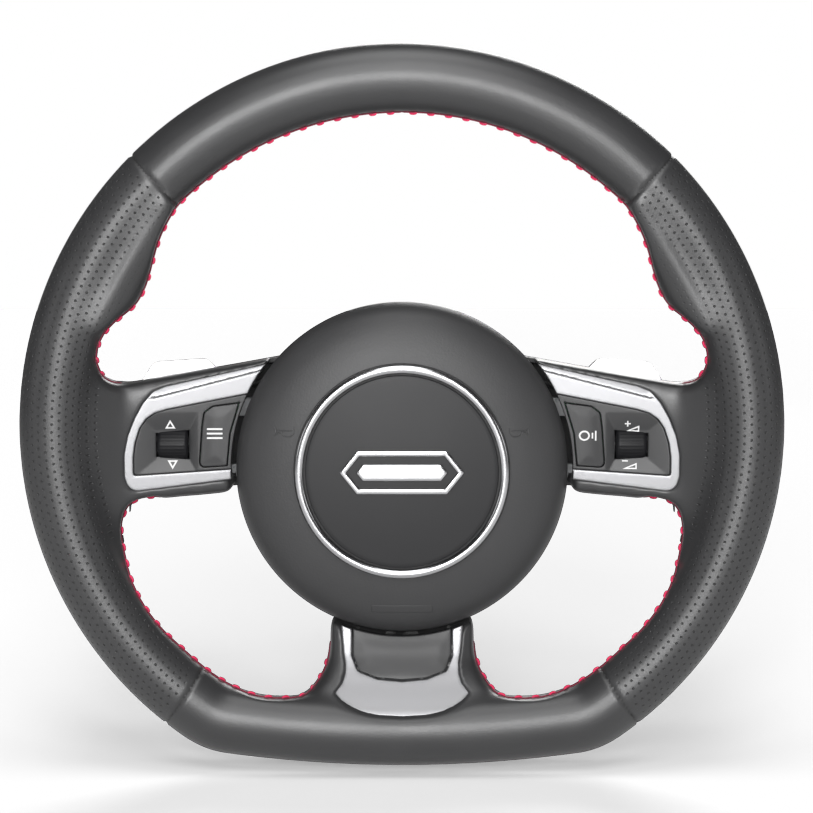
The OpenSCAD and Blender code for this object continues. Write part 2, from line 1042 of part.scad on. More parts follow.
module airbag_cover() {
    color([0.14, 0.14, 0.15])
        turned(hub_c)
            difference() {
                cover_profile(0);
                union() {
                    cover_profile(cover_t);
                    square([cover_r - cover_t, -can_front]);
                }
                translate([ring_r - ring_w - 1, seat_y - 0.6])
                    square([ring_w + 1.5, 5]);
            }
}

module ring_trim() {
    mid = seat_y - 0.6;
    color("white")
        turned(hub_c)
            polygon([[ring_r - ring_w, mid], [ring_r, mid], [ring_r, mid + 2.2],
                [ring_r - 0.8, mid + 3.2], [ring_r - ring_w + 0.8, mid + 3.2],
                [ring_r - ring_w, mid + 2.2]]);
}

module ring_disc() {
    r = ring_r - ring_w - 1;
    color([0.12, 0.12, 0.13])
        turned(hub_c)
            polygon([[0, seat_y], [r, seat_y], [r, seat_y + 1.2], [r * 0.7, seat_y + 2],
                [0, seat_y + 2.4]]);
}

// A badge outline: an elongated hexagon.
module hexagon(half_w, half_h) {
    flat = half_w - 0.8 * half_h;
    polygon([[-half_w, 0], [-flat, half_h], [flat, half_h], [half_w, 0], [flat, -half_h],
        [-flat, -half_h]]);
}

// A plain bright badge: a hexagonal frame round a smaller solid hexagon.
module emblem() {
    base = -seat_y - 2.4;
    color("white")
        translate([0, 0, hub_c[1]])
            front_block(base - 1.2, base) {
                difference() {
                    hexagon(badge[0] / 2, badge[1] / 2);
                    hexagon(badge[0] / 2 - 3.4, badge[1] / 2 - 2.7);
                }
                hexagon(badge[0] / 2 - 8, badge[1] / 2 - 6.5);
            }
}

module airbag_can() {
    color("gray")
        difference() {
            peg(hub_c, can_r, can_front, can_back);
            peg(hub_c, can_r - 2, can_front - 1, can_back - 2);
            peg(hub_c, can_r - 24, can_front, far);
            around(nut_circle, nut_angles)
                peg([0, 0], stud_r, can_front, far);
            around(post_circle, post_angles)
                peg([0, 0], post_d / 2, can_front, far);
        }
}

module airbag_cushion() {
    color("whitesmoke")
        peg(hub_c, can_r - 4, y_rim + 0.5, can_back - 14.5);
}

module inflator() {
    color("silver") {
        peg(hub_c, can_r - 24, can_back - 14, can_back + 5);
        difference() {
            peg(hub_c, can_r - 16.3, can_back - 4, can_back - 2);
            peg(hub_c, can_r - 24.5, far * -2, far);
            around(nut_circle, nut_angles)
                peg([0, 0], stud_r, can_front, far);
        }
    }
}

module inflator_nuts() {
    color("silver")
        around(nut_circle, nut_angles) {
            peg([0, 0], stud_r, can_back - 6, can_back + 3.5);
            translate([0, can_back + 3, 0])
                rotate([90, 0, 0])
                    cylinder(r = 4.2, h = 3, $fn = 6);
        }
}

module guide_posts() {
    color("lightgray")
        around(post_circle, post_angles)
            peg([0, 0], post_d / 2, can_back - 2, plate_back + 3.5);
}

module post_rings() {
    color("gray")
        around(post_circle, post_angles)
            difference() {
                peg([0, 0], post_d / 2 + 2, plate_back + 0.3, plate_back + 1.8);
                peg([0, 0], post_d / 2, -far, far);
            }
}

// A coil spring as a swept tube, open at both ends.
module coil(r, wire, height, turns) {
    steps = 12;
    sides = 6;
    n = turns * steps;
    points = [for (i = [0:n]) for (j = [0:sides - 1])
        let (a = i * 360 / steps, b = j * 360 / sides, q = r + wire * cos(b))
            [q * cos(a), q * sin(a), i * height / n + wire * sin(b)]];
    walls = [for (i = [0:n - 1]) for (j = [0:sides - 1])
        let (k = (j + 1) % sides)
            [i * sides + j, i * sides + k, (i + 1) * sides + k, (i + 1) * sides + j]];
    ends = [[for (j = [sides - 1:-1:0]) j], [for (j = [0:sides - 1]) n * sides + j]];
    polyhedron(points, concat(walls, ends));
}

module horn_springs() {
    wire = 0.6;
    color("silver")
        around(post_circle, post_angles)
            translate([0, can_back + wire, 0])
                rotate([-90, 0, 0])
                    coil(post_d / 2 + 1.6, wire, plate_front - can_back - 2 * wire, 4);
}

module horn_contacts() {
    color("goldenrod")
        around(post_circle, contact_angles) {
            peg([0, 0], 2, can_back + horn_travel + fit_gap, plate_back + 1.5);
            peg([0, 0], 3.5, plate_front - 1.5, plate_front);
        }
}

// ---- Wiring ----

module connectors() {
    color("white")
        right_and_left()
            difference() {
                translate([lead_hole[0] - 7, plate_back, lead_hole[1] - 5])
                    cube([14, 8, 10]);
                peg(lead_hole, lead_d / 2, plate_back - 1, plate_back + 4);
            }
}

// A lead as a swept tube: each ring stands square to the way the route runs there.
module lead_run(points, r) {
    sides = 8;
    last = len(points) - 1;
    rings = [for (i = [0:last])
        let (way = points[min(i + 1, last)] - points[max(i - 1, 0)],
            out = cross(way, [0, 0, 1]) / norm(cross(way, [0, 0, 1])),
            up = cross(out, way) / norm(way))
            for (j = [0:sides - 1])
                points[i] + r * (cos(j * 360 / sides) * out + sin(j * 360 / sides) * up)];
    walls = [for (i = [0:last - 1]) for (j = [0:sides - 1])
        let (k = (j + 1) % sides)
            [i * sides + k, i * sides + j, (i + 1) * sides + j, (i + 1) * sides + k]];
    ends = [[for (j = [0:sides - 1]) j], [for (j = [sides - 1:-1:0]) last * sides + j]];
    polyhedron(rings, concat(walls, ends));
}

module switch_leads() {
    lead_mid = (can_back + horn_travel + plate_front) / 2 + 0.5;
    color("black")
        right_and_left()
            lead_run([[gap_r + 6, tray_back, 14], [gap_r + 1, y_rim + 36, 16],
                [can_r + 5, lead_mid - 1, 22], [lead_hole[0], lead_mid, lead_hole[1]],
                [lead_hole[0], plate_back + 4, lead_hole[1]]], lead_d / 2);
}

armature();
hub_insert();
rim_foam();
leather_top();
leather_left();
leather_right();
leather_bottom();
stitch_thread();
rear_cover();
spoke_back_left();
spoke_back_right();
spoke_back_bottom();
trim_left();
trim_right();
trim_bottom();
trim_bottom_insert();
switch_panel_left();
switch_panel_right();
switch_housing_left();
switch_housing_right();
switch_board_left();
switch_board_right();
mode_button();
voice_button();
cradle_left();
cradle_right();
roller_left();
roller_right();
roller_axle_left();
roller_axle_right();
paddle_left();
paddle_right();
paddle_pins();
paddle_bracket_left();
paddle_bracket_right();
paddle_switches();
bracket_screws();
airbag_cover();
ring_trim();
ring_disc();
emblem();
airbag_can();
airbag_cushion();
inflator();
inflator_nuts();
guide_posts();
post_rings();
horn_springs();
horn_contacts();
cover_screws();
trim_screws();
connectors();
switch_leads();
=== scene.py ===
import json
import math

import bmesh
import bpy
import numpy as np
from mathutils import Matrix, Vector
from mathutils.bvhtree import BVHTree
from mathutils.geometry import delaunay_2d_cdt
from mathutils.kdtree import KDTree


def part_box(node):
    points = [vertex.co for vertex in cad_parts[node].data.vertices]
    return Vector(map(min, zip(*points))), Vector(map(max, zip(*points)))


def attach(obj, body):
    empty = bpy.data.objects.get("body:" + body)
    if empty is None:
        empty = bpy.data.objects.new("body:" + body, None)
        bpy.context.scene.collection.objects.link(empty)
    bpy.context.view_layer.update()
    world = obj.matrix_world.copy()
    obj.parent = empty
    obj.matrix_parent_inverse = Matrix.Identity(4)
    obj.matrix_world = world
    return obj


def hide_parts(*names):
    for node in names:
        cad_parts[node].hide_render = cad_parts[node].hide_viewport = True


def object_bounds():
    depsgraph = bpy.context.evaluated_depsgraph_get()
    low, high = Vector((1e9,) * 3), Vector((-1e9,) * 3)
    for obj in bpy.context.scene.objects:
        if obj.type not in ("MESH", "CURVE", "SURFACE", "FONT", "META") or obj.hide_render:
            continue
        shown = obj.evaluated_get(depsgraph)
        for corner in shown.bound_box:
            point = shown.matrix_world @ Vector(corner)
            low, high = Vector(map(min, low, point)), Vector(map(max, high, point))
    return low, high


# Looks for the flat-bottomed steering wheel. Shapes are worked out in millimetres from the
# CAD nodes and turned into metres when a piece is made. The driver sits towards -Y.

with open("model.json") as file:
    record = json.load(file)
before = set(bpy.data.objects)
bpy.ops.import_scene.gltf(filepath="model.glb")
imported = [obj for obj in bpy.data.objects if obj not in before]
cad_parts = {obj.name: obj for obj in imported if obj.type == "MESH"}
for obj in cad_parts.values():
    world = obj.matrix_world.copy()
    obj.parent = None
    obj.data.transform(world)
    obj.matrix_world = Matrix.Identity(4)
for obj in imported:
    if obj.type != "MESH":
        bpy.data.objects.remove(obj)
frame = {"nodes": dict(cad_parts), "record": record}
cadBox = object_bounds()
nodes = frame["nodes"]
slotOf = {part["node"]: part["material_slot"] for part in frame["record"]["subparts"]}
mm = 0.001
print("frame loaded:", len(nodes), "nodes")


# shader maths: a Wire is a socket that can be used in sums

class Wire:
    def __init__(self, graph, socket):
        self.graph = graph
        self.socket = socket

    def math(self, operation, *values):
        return self.graph.node("ShaderNodeMath", {"operation": operation}, dict(enumerate(values)))

    def out(self, name):
        return Wire(self.graph, self.socket.node.outputs[name])

    def fract(self):
        return self.math("FRACT", self)

    def __add__(self, other):
        return self.math("ADD", self, other)

    def __radd__(self, other):
        return self.math("ADD", other, self)

    def __sub__(self, other):
        return self.math("SUBTRACT", self, other)

    def __rsub__(self, other):
        return self.math("SUBTRACT", other, self)

    def __mul__(self, other):
        return self.math("MULTIPLY", self, other)

    def __rmul__(self, other):
        return self.math("MULTIPLY", other, self)

    def __truediv__(self, other):
        return self.math("DIVIDE", self, other)

    def __pow__(self, other):
        return self.math("POWER", self, other)


class Graph:
    def __init__(self, tree):
        self.tree = tree

    def node(self, kind, settings, values, output=0):
        made = self.tree.nodes.new(kind)
        for key, value in settings.items():
            if key == "stops":
                made.color_ramp.elements[1].position = value[-1][0]
                made.color_ramp.elements[1].color = value[-1][1]
                made.color_ramp.elements[0].position = value[0][0]
                made.color_ramp.elements[0].color = value[0][1]
                for stop, colour in value[1:-1]:
                    made.color_ramp.elements.new(stop).color = colour
            else:
                setattr(made, key, value)
        for key, value in values.items():
            self.feed(made.inputs[key], value)
        return Wire(self, made.outputs[output])

    def feed(self, socket, value):
        if isinstance(value, Wire):
            self.tree.links.new(value.socket, socket)
        else:
            socket.default_value = value

    def mix(self, amount, low, high):
        return self.node("ShaderNodeMix", {"data_type": "RGBA"}, {0: amount, 6: low, 7: high}, 2)

    def place(self, stretch=(1, 1, 1)):
        spot = self.node("ShaderNodeTexCoord", {}, {}, "Object")
        return self.node("ShaderNodeVectorMath", {"operation": "MULTIPLY"}, {0: spot, 1: stretch})

    def noise(self, size, detail=2.0, stretch=(1, 1, 1)):
        return self.node("ShaderNodeTexNoise", {},
                         {"Vector": self.place(stretch), "Scale": 1 / (size * mm), "Detail": detail})

    def cells(self, size, stretch=(1, 1, 1)):
        return self.node("ShaderNodeTexVoronoi", {"feature": "SMOOTH_F1"},
                         {"Vector": self.place(stretch), "Scale": 1 / (size * mm), "Smoothness": 0.4})

    def ease(self, value, low, high, start=0.0, end=1.0):
        return self.node("ShaderNodeMapRange", {"interpolation_type": "SMOOTHSTEP"},
                         {"Value": value, "From Min": low, "From Max": high,
                          "To Min": start, "To Max": end})

    def bump(self, height, depth, under=None):
        values = {"Height": height, "Distance": depth * mm, "Strength": 1.0}
        if under:
            values["Normal"] = under
        return self.node("ShaderNodeBump", {}, values)

    def softEdges(self, radius):
        return self.node("ShaderNodeBevel", {"samples": 4}, {"Radius": radius * mm})


def newFinish(name, fixed):
    # a material whose even values are set on the shader's own sockets
    material = bpy.data.materials.new(name)
    material.use_nodes = True
    graph = Graph(material.node_tree)
    graph.material = material
    graph.shader = material.node_tree.nodes["Principled BSDF"]
    for key, value in fixed.items():
        graph.shader.inputs[key].default_value = value
    return graph


def wear(graph, colour, change, size, roughness, roughChange, normal):
    # colour and roughness wander a little over every surface
    patch = graph.noise(size, 4.0)
    dark = tuple(c * (1 - change) for c in colour) + (1,)
    light = tuple(min(1, c * (1 + change)) for c in colour) + (1,)
    graph.feed(graph.shader.inputs["Base Color"], graph.mix(patch, dark, light))
    graph.feed(graph.shader.inputs["Roughness"], patch * roughChange + (roughness - roughChange / 2))
    graph.feed(graph.shader.inputs["Normal"], normal)
    return graph.material


leatherLook = {
    "colour": (0.022, 0.022, 0.023),
    "roughness": 0.40,
    "grainSize": 0.9,        # pebbles of the grain
    "grainDepth": 0.035,
    "holeStep": 3.8,         # along a row of holes
    "rowStep": 3.4,          # from row to row
    "holeRadius": 0.52,
    "holeDepth": 0.5,
}


def leatherFinish():
    look = leatherLook
    graph = newFinish("leather", {"Specular IOR Level": 0.6, "Sheen Weight": 0.03,
                                  "Sheen Roughness": 0.5})
    wrap = graph.node("ShaderNodeAttribute", {"attribute_name": "wrap"}, {}, "Vector")
    along = graph.node("ShaderNodeSeparateXYZ", {}, {"Vector": wrap}, "X")
    across, punched = along.out("Y"), along.out("Z")
    row = across / look["rowStep"]
    shift = (row.math("FLOOR", row) * 0.5).fract()
    sideways = ((along / look["holeStep"] + shift).fract() - 0.5) * look["holeStep"]
    upright = (row.fract() - 0.5) * look["rowStep"]
    away = (sideways * sideways + upright * upright) ** 0.5
    hole = graph.ease(away, look["holeRadius"] * 0.6, look["holeRadius"] * 1.3, 1.0, 0.0) * punched
    crease = graph.node("ShaderNodeAttribute", {"attribute_name": "crease"}, {}, "Fac")
    pebbles = graph.cells(look["grainSize"])
    patch = graph.noise(26, 3.0)
    dark = tuple(c * 0.86 for c in look["colour"]) + (1,)
    light = tuple(c * 1.14 for c in look["colour"]) + (1,)
    skin = graph.mix(patch, dark, light)
    # painted shade: the colour darkens towards near black in the holes and along the seams and stitching, where
    # these grooves lie in shade
    shade = (hole * 0.85).math("MAXIMUM", hole * 0.85, crease * 0.8)
    graph.feed(graph.shader.inputs["Base Color"], graph.mix(shade, skin, (0.004, 0.004, 0.004, 1)))
    graph.feed(graph.shader.inputs["Roughness"],
               patch * 0.08 + pebbles * 0.06 + (look["roughness"] - 0.07) + shade * 0.3)
    grain = graph.bump(pebbles * 0.7 + graph.noise(0.35) * 0.3, look["grainDepth"])
    graph.feed(graph.shader.inputs["Normal"], graph.bump(1 - hole, look["holeDepth"], grain))
    return graph.material


def threadFinish():
    graph = newFinish("thread", {"Sheen Weight": 0.3, "Specular IOR Level": 0.35})
    strands = graph.noise(0.45, 2.0, (1, 3, 1))
    return wear(graph, (0.58, 0.008, 0.072), 0.2, 0.8, 0.55, 0.15, graph.bump(strands, 0.12))


def shadedThreadFinish():
    # painted shade: a darker copy of the thread's red, for the run of thread lying in the stitch groove
    graph = newFinish("darkThread", {"Sheen Weight": 0.2, "Specular IOR Level": 0.3})
    strands = graph.noise(0.4, 2.0, (1, 3, 1))
    return wear(graph, (0.14, 0.003, 0.02), 0.3, 0.8, 0.65, 0.15, graph.bump(strands, 0.1))


def coverFinish():
    graph = newFinish("coverPlastic", {"Specular IOR Level": 0.3})
    hide = graph.cells(1.1) * 0.6 + graph.noise(0.5, 3.0) * 0.4
    return wear(graph, (0.034, 0.034, 0.035), 0.06, 30, 0.44, 0.08, graph.bump(hide, 0.06))


def discFinish():
    graph = newFinish("discLacquer", {"Specular IOR Level": 0.22})
    return wear(graph, (0.015, 0.015, 0.016), 0.08, 22, 0.44, 0.06,
                graph.bump(graph.noise(0.6, 3.0), 0.012))


def satinFinish():
    graph = newFinish("satinTrim", {"Metallic": 0.92})
    flakes = graph.noise(0.25, 2.0)
    return wear(graph, (0.19, 0.19, 0.195), 0.05, 14, 0.36, 0.07, graph.bump(flakes, 0.006))


def chromeFinish():
    graph = newFinish("brightRing", {"Metallic": 1.0})
    return wear(graph, (0.42, 0.42, 0.43), 0.03, 9, 0.2, 0.08, graph.bump(graph.noise(4), 0.01))


def panelFinish():
    graph = newFinish("panelPlastic", {"Specular IOR Level": 0.4})
    sparks = graph.noise(0.3, 3.0)
    return wear(graph, (0.019, 0.019, 0.020), 0.1, 12, 0.42, 0.08, graph.bump(sparks, 0.012))


def padFinish():
    graph = newFinish("padPlastic", {"Specular IOR Level": 0.4})
    return wear(graph, (0.016, 0.016, 0.017), 0.08, 10, 0.42, 0.06,
                graph.bump(graph.noise(0.3, 3.0), 0.01))


def rollerFinish():
    graph = newFinish("rollerRubber", {"Specular IOR Level": 0.16})
    return wear(graph, (0.006, 0.006, 0.007), 0.2, 5, 0.42, 0.08,
                graph.bump(graph.noise(0.35, 3.0), 0.02))


def inkFinish():
    graph = newFinish("paleInk", {})
    return wear(graph, (0.60, 0.60, 0.60), 0.08, 1.5, 0.5, 0.1, graph.bump(graph.noise(0.3), 0.01))


def blackFinish():
    graph = newFinish("blackPlastic", {"Specular IOR Level": 0.4})
    sparks = graph.bump(graph.noise(0.4, 4.0), 0.05, graph.softEdges(0.5))
    return wear(graph, (0.022, 0.022, 0.023), 0.12, 18, 0.55, 0.1, sparks)


def innerFinish():
    graph = newFinish("innerPlastic", {"Specular IOR Level": 0.4})
    skin = graph.bump(graph.noise(0.8, 3.0), 0.03, graph.softEdges(0.3))
    return wear(graph, (0.09, 0.09, 0.095), 0.12, 12, 0.5, 0.1, skin)


def foamFinish():
    graph = newFinish("foam", {"Specular IOR Level": 0.2})
    pores = graph.bump(graph.cells(0.7), 0.15)
    return wear(graph, (0.05, 0.05, 0.05), 0.2, 9, 0.85, 0.1, pores)


def castFinish():
    graph = newFinish("castMetal", {"Metallic": 0.95})
    skin = graph.bump(graph.noise(0.7, 4.0), 0.08, graph.softEdges(0.6))
    return wear(graph, (0.56, 0.57, 0.58), 0.1, 15, 0.48, 0.12, skin)


def steelFinish():
    graph = newFinish("zincSteel", {"Metallic": 1.0})
    skin = graph.bump(graph.noise(0.5, 3.0, (1, 0.2, 1)), 0.02, graph.softEdges(0.25))
    return wear(graph, (0.52, 0.52, 0.53), 0.12, 4, 0.34, 0.12, skin)


def darkSteelFinish():
    graph = newFinish("phosphateSteel", {"Metallic": 0.9})
    skin = graph.bump(graph.noise(0.5, 3.0), 0.03, graph.softEdges(0.3))
    return wear(graph, (0.16, 0.16, 0.17), 0.15, 7, 0.45, 0.15, skin)


def boardFinish():
    graph = newFinish("circuitBoard", {"Specular IOR Level": 0.5})
    tracks = graph.node("ShaderNodeTexBrick", {"offset": 0.5},
                        {"Vector": graph.place((1, 1, 1)), "Scale": 300.0, "Mortar Size": 0.03,
                         "Color1": (0.012, 0.10, 0.035, 1), "Color2": (0.010, 0.085, 0.03, 1),
                         "Mortar": (0.03, 0.20, 0.07, 1)}, "Color")
    graph.feed(graph.shader.inputs["Base Color"], tracks)
    graph.feed(graph.shader.inputs["Roughness"], graph.noise(6) * 0.1 + 0.3)
    return graph.material


def nylonFinish():
    graph = newFinish("nylon", {"Specular IOR Level": 0.4})
    return wear(graph, (0.55, 0.54, 0.50), 0.08, 5, 0.5, 0.1,
                graph.bump(graph.noise(0.6), 0.02, graph.softEdges(0.2)))


def cushionFinish():
    graph = newFinish("cushionFabric", {"Sheen Weight": 0.2})
    weft = graph.node("ShaderNodeTexWave", {"bands_direction": "X"},
                      {"Vector": graph.place(), "Scale": 500.0})
    warp = graph.node("ShaderNodeTexWave", {"bands_direction": "Z"},
                      {"Vector": graph.place(), "Scale": 500.0})
    return wear(graph, (0.70, 0.69, 0.66), 0.08, 8, 0.8, 0.1,
                graph.bump(weft.out("Fac") * warp.out("Fac"), 0.15))


def brassFinish():
    graph = newFinish("contactBrass", {"Metallic": 1.0})
    return wear(graph, (0.72, 0.52, 0.22), 0.1, 3, 0.3, 0.12,
                graph.bump(graph.noise(0.5), 0.02, graph.softEdges(0.2)))


def paddleFinish():
    graph = newFinish("paddleMetal", {"Metallic": 0.95})
    brushed = graph.noise(0.5, 3.0, (0.03, 1, 1))
    skin = graph.bump(brushed, 0.015, graph.softEdges(0.7))
    return wear(graph, (0.70, 0.70, 0.71), 0.06, 12, 0.34, 0.1, skin)


def cableFinish():
    graph = newFinish("cable", {"Specular IOR Level": 0.4})
    return wear(graph, (0.02, 0.02, 0.02), 0.2, 6, 0.45, 0.1,
                graph.bump(graph.noise(0.9, 2.0), 0.05))


finishes = {
    "leather": leatherFinish(), "thread": threadFinish(), "darkThread": shadedThreadFinish(),
    "foam": foamFinish(), "frame_metal": castFinish(), "steel": steelFinish(),
    "dark_steel": darkSteelFinish(), "satin_trim": satinFinish(), "black_plastic": blackFinish(),
    "cover_plastic": coverFinish(), "panel_plastic": panelFinish(), "inner_plastic": innerFinish(),
    "board": boardFinish(), "bright_ring": chromeFinish(), "nylon": nylonFinish(),
    "cushion_fabric": cushionFinish(), "brass_contact": brassFinish(),
    "paddle_metal": paddleFinish(), "cable": cableFinish(), "disc": discFinish(),
    "pad": padFinish(), "roller": rollerFinish(), "ink": inkFinish(),
}
for name, node in nodes.items():
    node.data.materials.clear()
    node.data.materials.append(finishes[slotOf[name]])
print("finishes made:", len(finishes))


# making pieces

def addPiece(name, points, faces, body, finish, slot, stands=(), sharp=40):
    mesh = bpy.data.meshes.new(name)
    mesh.from_pydata((np.asarray(points, float) * mm).tolist(), [], [list(f) for f in faces])
    mesh.validate()
    mesh.polygons.foreach_set("use_smooth", [True] * len(mesh.polygons))
    mesh.set_sharp_from_angle(angle=math.radians(sharp))
    mesh.materials.append(finishes[finish])
    piece = bpy.data.objects.new(name, mesh)
    bpy.context.scene.collection.objects.link(piece)
    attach(piece, body)
    if stands:
        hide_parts(*stands)
    return piece


def cadMesh(*names):
    # CAD nodes in one mesh, in millimetres, with their doubled points welded
    shape = bmesh.new()
    for name in names:
        shape.from_mesh(nodes[name].data)
    bmesh.ops.remove_doubles(shape, verts=shape.verts, dist=2e-6)
    bmesh.ops.scale(shape, vec=(1 / mm,) * 3, verts=shape.verts)
    shape.normal_update()
    return shape


def loopsRound(patch):
    # the closed loops of (x, y, z) round a patch of faces, the longest first
    inside = set(patch)
    after = {}
    for face in patch:
        corners = face.loops
        for corner in corners:
            if sum(f in inside for f in corner.edge.link_faces) == 1:
                after.setdefault(corner.vert, []).append(corner.link_loop_next.vert)
    loops = []
    while after:
        vert = next(iter(after))
        loop = []
        while vert in after:
            loop.append(tuple(vert.co))
            following = after[vert].pop()
            if not after[vert]:
                del after[vert]
            vert = following
        if len(loop) > 2:
            loops.append(np.array(loop))
    return sorted(loops, key=lambda p: -np.ptp(p[:, 0]) * np.ptp(p[:, 2]))


def frontPatches(name, facing=0.55):
    # the faces of a node that look at the driver, as patches, the largest first
    shape = cadMesh(name)
    left = {f for f in shape.faces if f.normal.y < -facing}
    patches = []
    while left:
        patch, queue = [], [left.pop()]
        while queue:
            face = queue.pop()
            patch.append(face)
            for edge in face.edges:
                for other in edge.link_faces:
                    if other in left:
                        left.remove(other)
                        queue.append(other)
        patches.append((sum(f.calc_area() for f in patch), loopsRound(patch)))
    patches.sort(key=lambda p: -p[0])
    shape.free()
    return [loops for area, loops in patches]


def evenly(loop, step):
    # a closed outline with its corners kept and its long sides cut up
    points = []
    for here, there in zip(loop, np.roll(loop, -1, axis=0)):
        length = np.linalg.norm(there - here)
        if length < 0.04:
            continue
        count = max(1, int(math.ceil(length / step)))
        points += [here + (there - here) * i / count for i in range(count)]
    return np.array(points)


def turnedArea(loop):
    x, z = loop[:, 0], loop[:, 1]
    return 0.5 * np.sum(x * np.roll(z, -1) - z * np.roll(x, -1))


def fromEdge(points, loop):
    # distance to an outline, and how much its nearest side faces up
    a, b = loop, np.roll(loop, -1, axis=0)
    side = b - a
    long = np.maximum((side ** 2).sum(1), 1e-12)
    best, up = np.full(len(points), 1e9), np.zeros(len(points))
    for start in range(0, len(points), 2000):
        p = points[start:start + 2000, None, :]
        t = np.clip(((p - a) * side).sum(2) / long, 0, 1)
        gap = np.sqrt(((p - a - t[..., None] * side) ** 2).sum(2))
        pick = gap.argmin(1)
        best[start:start + 2000] = gap.min(1)
        up[start:start + 2000] = -side[pick, 0] / np.sqrt(long[pick])
    return best, up


def insideLoops(points, loops):
    crossings = np.zeros(len(points), int)
    for loop in loops:
        a, b = loop, np.roll(loop, -1, axis=0)
        for start in range(0, len(points), 2000):
            x, z = points[start:start + 2000, 0, None], points[start:start + 2000, 1, None]
            spans = (a[:, 1] > z) != (b[:, 1] > z)
            rise = np.where(np.abs(b[:, 1] - a[:, 1]) < 1e-12, 1e-12, b[:, 1] - a[:, 1])
            crossings[start:start + 2000] += (spans & (x < a[:, 0] + (z - a[:, 1])
                                                       * (b[:, 0] - a[:, 0]) / rise)).sum(1)
    return crossings % 2 == 1


class Edge:
    # what a plate's height formula may ask about its edges
    def __init__(self, points, loops):
        gaps = [fromEdge(points, loop) for loop in loops]
        self.outer, self.up = gaps[0]
        self.inner = np.min([g[0] for g in gaps[1:]], axis=0) if gaps[1:] else self.outer + 1e6
        self.any = np.minimum(self.outer, self.inner)


def fillOutline(loops, rings, cell, extra):
    # triangles over an outline with holes, with rows of points that follow its edges
    tidy = []
    for i, loop in enumerate(loops):
        loop = evenly(loop, cell)
        wanted = 1 if i == 0 else -1
        tidy.append(loop if turnedArea(loop) * wanted > 0 else loop[::-1])
    points, edges = np.vstack(tidy), []
    start = 0
    for loop in tidy:
        n = len(loop)
        edges += [(start + i, start + (i + 1) % n) for i in range(n)]
        start += n
    more = []
    for loop in tidy:
        side = np.roll(loop, -1, axis=0) - loop
        inward = np.c_[-side[:, 1], side[:, 0]]
        inward /= np.maximum(np.linalg.norm(inward, axis=1), 1e-9)[:, None]
        inward = inward + np.roll(inward, 1, axis=0)
        inward /= np.maximum(np.linalg.norm(inward, axis=1), 0.3)[:, None]
        for ring in rings:
            moved = loop + inward * ring
            gap = np.min([fromEdge(moved, other)[0] for other in tidy], axis=0)
            more.append(moved[(gap > ring * 0.85) & insideLoops(moved, tidy)])
    low, high = points.min(0), points.max(0)
    rows = np.arange(low[1], high[1], cell * 0.87)
    columns = np.arange(low[0], high[0], cell)
    grid = np.array([(x + (i % 2) * cell / 2, z) for i, z in enumerate(rows) for x in columns])
    last = rings[-1] if rings else 0
    gap = np.min([fromEdge(grid, loop)[0] for loop in tidy], axis=0)
    more.append(grid[(gap > last + cell * 0.45) & insideLoops(grid, tidy)])
    if len(extra):
        extra = np.asarray(extra, float)
        gap = np.min([fromEdge(extra, loop)[0] for loop in tidy], axis=0)
        more.append(extra[(gap > 0.12) & insideLoops(extra, tidy)])
    everything = np.vstack([points] + more)
    flat, unused, faces, *rest = delaunay_2d_cdt([Vector(p) for p in everything], edges, [], 0, 1e-4)
    flat = np.array([tuple(p) for p in flat])
    faces = np.array([f for f in faces if len(f) == 3])
    faces = faces[insideLoops(flat[faces].mean(1), tidy)]
    a, b, c = (flat[faces[:, i]] for i in range(3))
    turn = (b[:, 0] - a[:, 0]) * (c[:, 1] - a[:, 1]) - (b[:, 1] - a[:, 1]) * (c[:, 0] - a[:, 0])
    faces = faces[np.abs(turn) > 1e-9]
    turn = turn[np.abs(turn) > 1e-9]
    faces[turn < 0] = faces[turn < 0][:, ::-1]
    return flat, faces, tidy


def plateMesh(loops, lift, depth, rings=(0.06, 0.2, 0.42, 0.75), cell=1.0, extra=()):
    # a plate over an outline: lift gives the y of its front, and its sides run back by depth
    flat, faces, tidy = fillOutline(loops, rings, cell, extra)
    y = lift(flat[:, 0], flat[:, 1], Edge(flat, tidy))
    front = np.c_[flat[:, 0], y, flat[:, 1]]
    sides = {}
    for a, b, c in faces:
        for edge in ((a, b), (b, c), (c, a)):
            if edge[::-1] in sides:
                del sides[edge[::-1]]
            else:
                sides[edge] = True
    rim = sorted({i for edge in sides for i in edge})
    back = {i: len(front) + k for k, i in enumerate(rim)}
    points = np.vstack([front, front[rim] + (0, depth, 0)])
    quads = [(i, back[i], back[j], j) for i, j in sides]
    return points, faces.tolist() + quads


def roundOver(gap, radius):
    # how far a rounded edge drops at a distance from it
    k = np.clip(radius - gap, 0, radius)
    return radius - np.sqrt(np.maximum(radius * radius - k * k, 0))


def step(value, low, high):
    t = np.clip((value - low) / (high - low), 0, 1)
    return t * t * (3 - 2 * t)


def faceFit(loop):
    # y over x and z of a flat face
    known = np.c_[loop[:, 0], loop[:, 2], np.ones(len(loop))]
    a, b, c = np.linalg.lstsq(known, loop[:, 1], rcond=None)[0]
    return lambda x, z: a * x + b * z + c


def flatLoops(loops):
    return [loop[:, [0, 2]] for loop in loops]


def turnMesh(profile, centre, turns=192):
    # a profile of (radius, y) turned about a line along Y; the last radius may be 0
    points, faces = [], []
    angles = np.linspace(0, 2 * math.pi, turns, endpoint=False)
    for radius, y in profile:
        points += [(centre[0] + radius * math.cos(a), y, centre[1] + radius * math.sin(a))
                   for a in angles]
    for i in range(len(profile) - 1):
        for k in range(turns):
            n = (k + 1) % turns
            faces.append((i * turns + k, i * turns + n, (i + 1) * turns + n, (i + 1) * turns + k))
    return points, faces


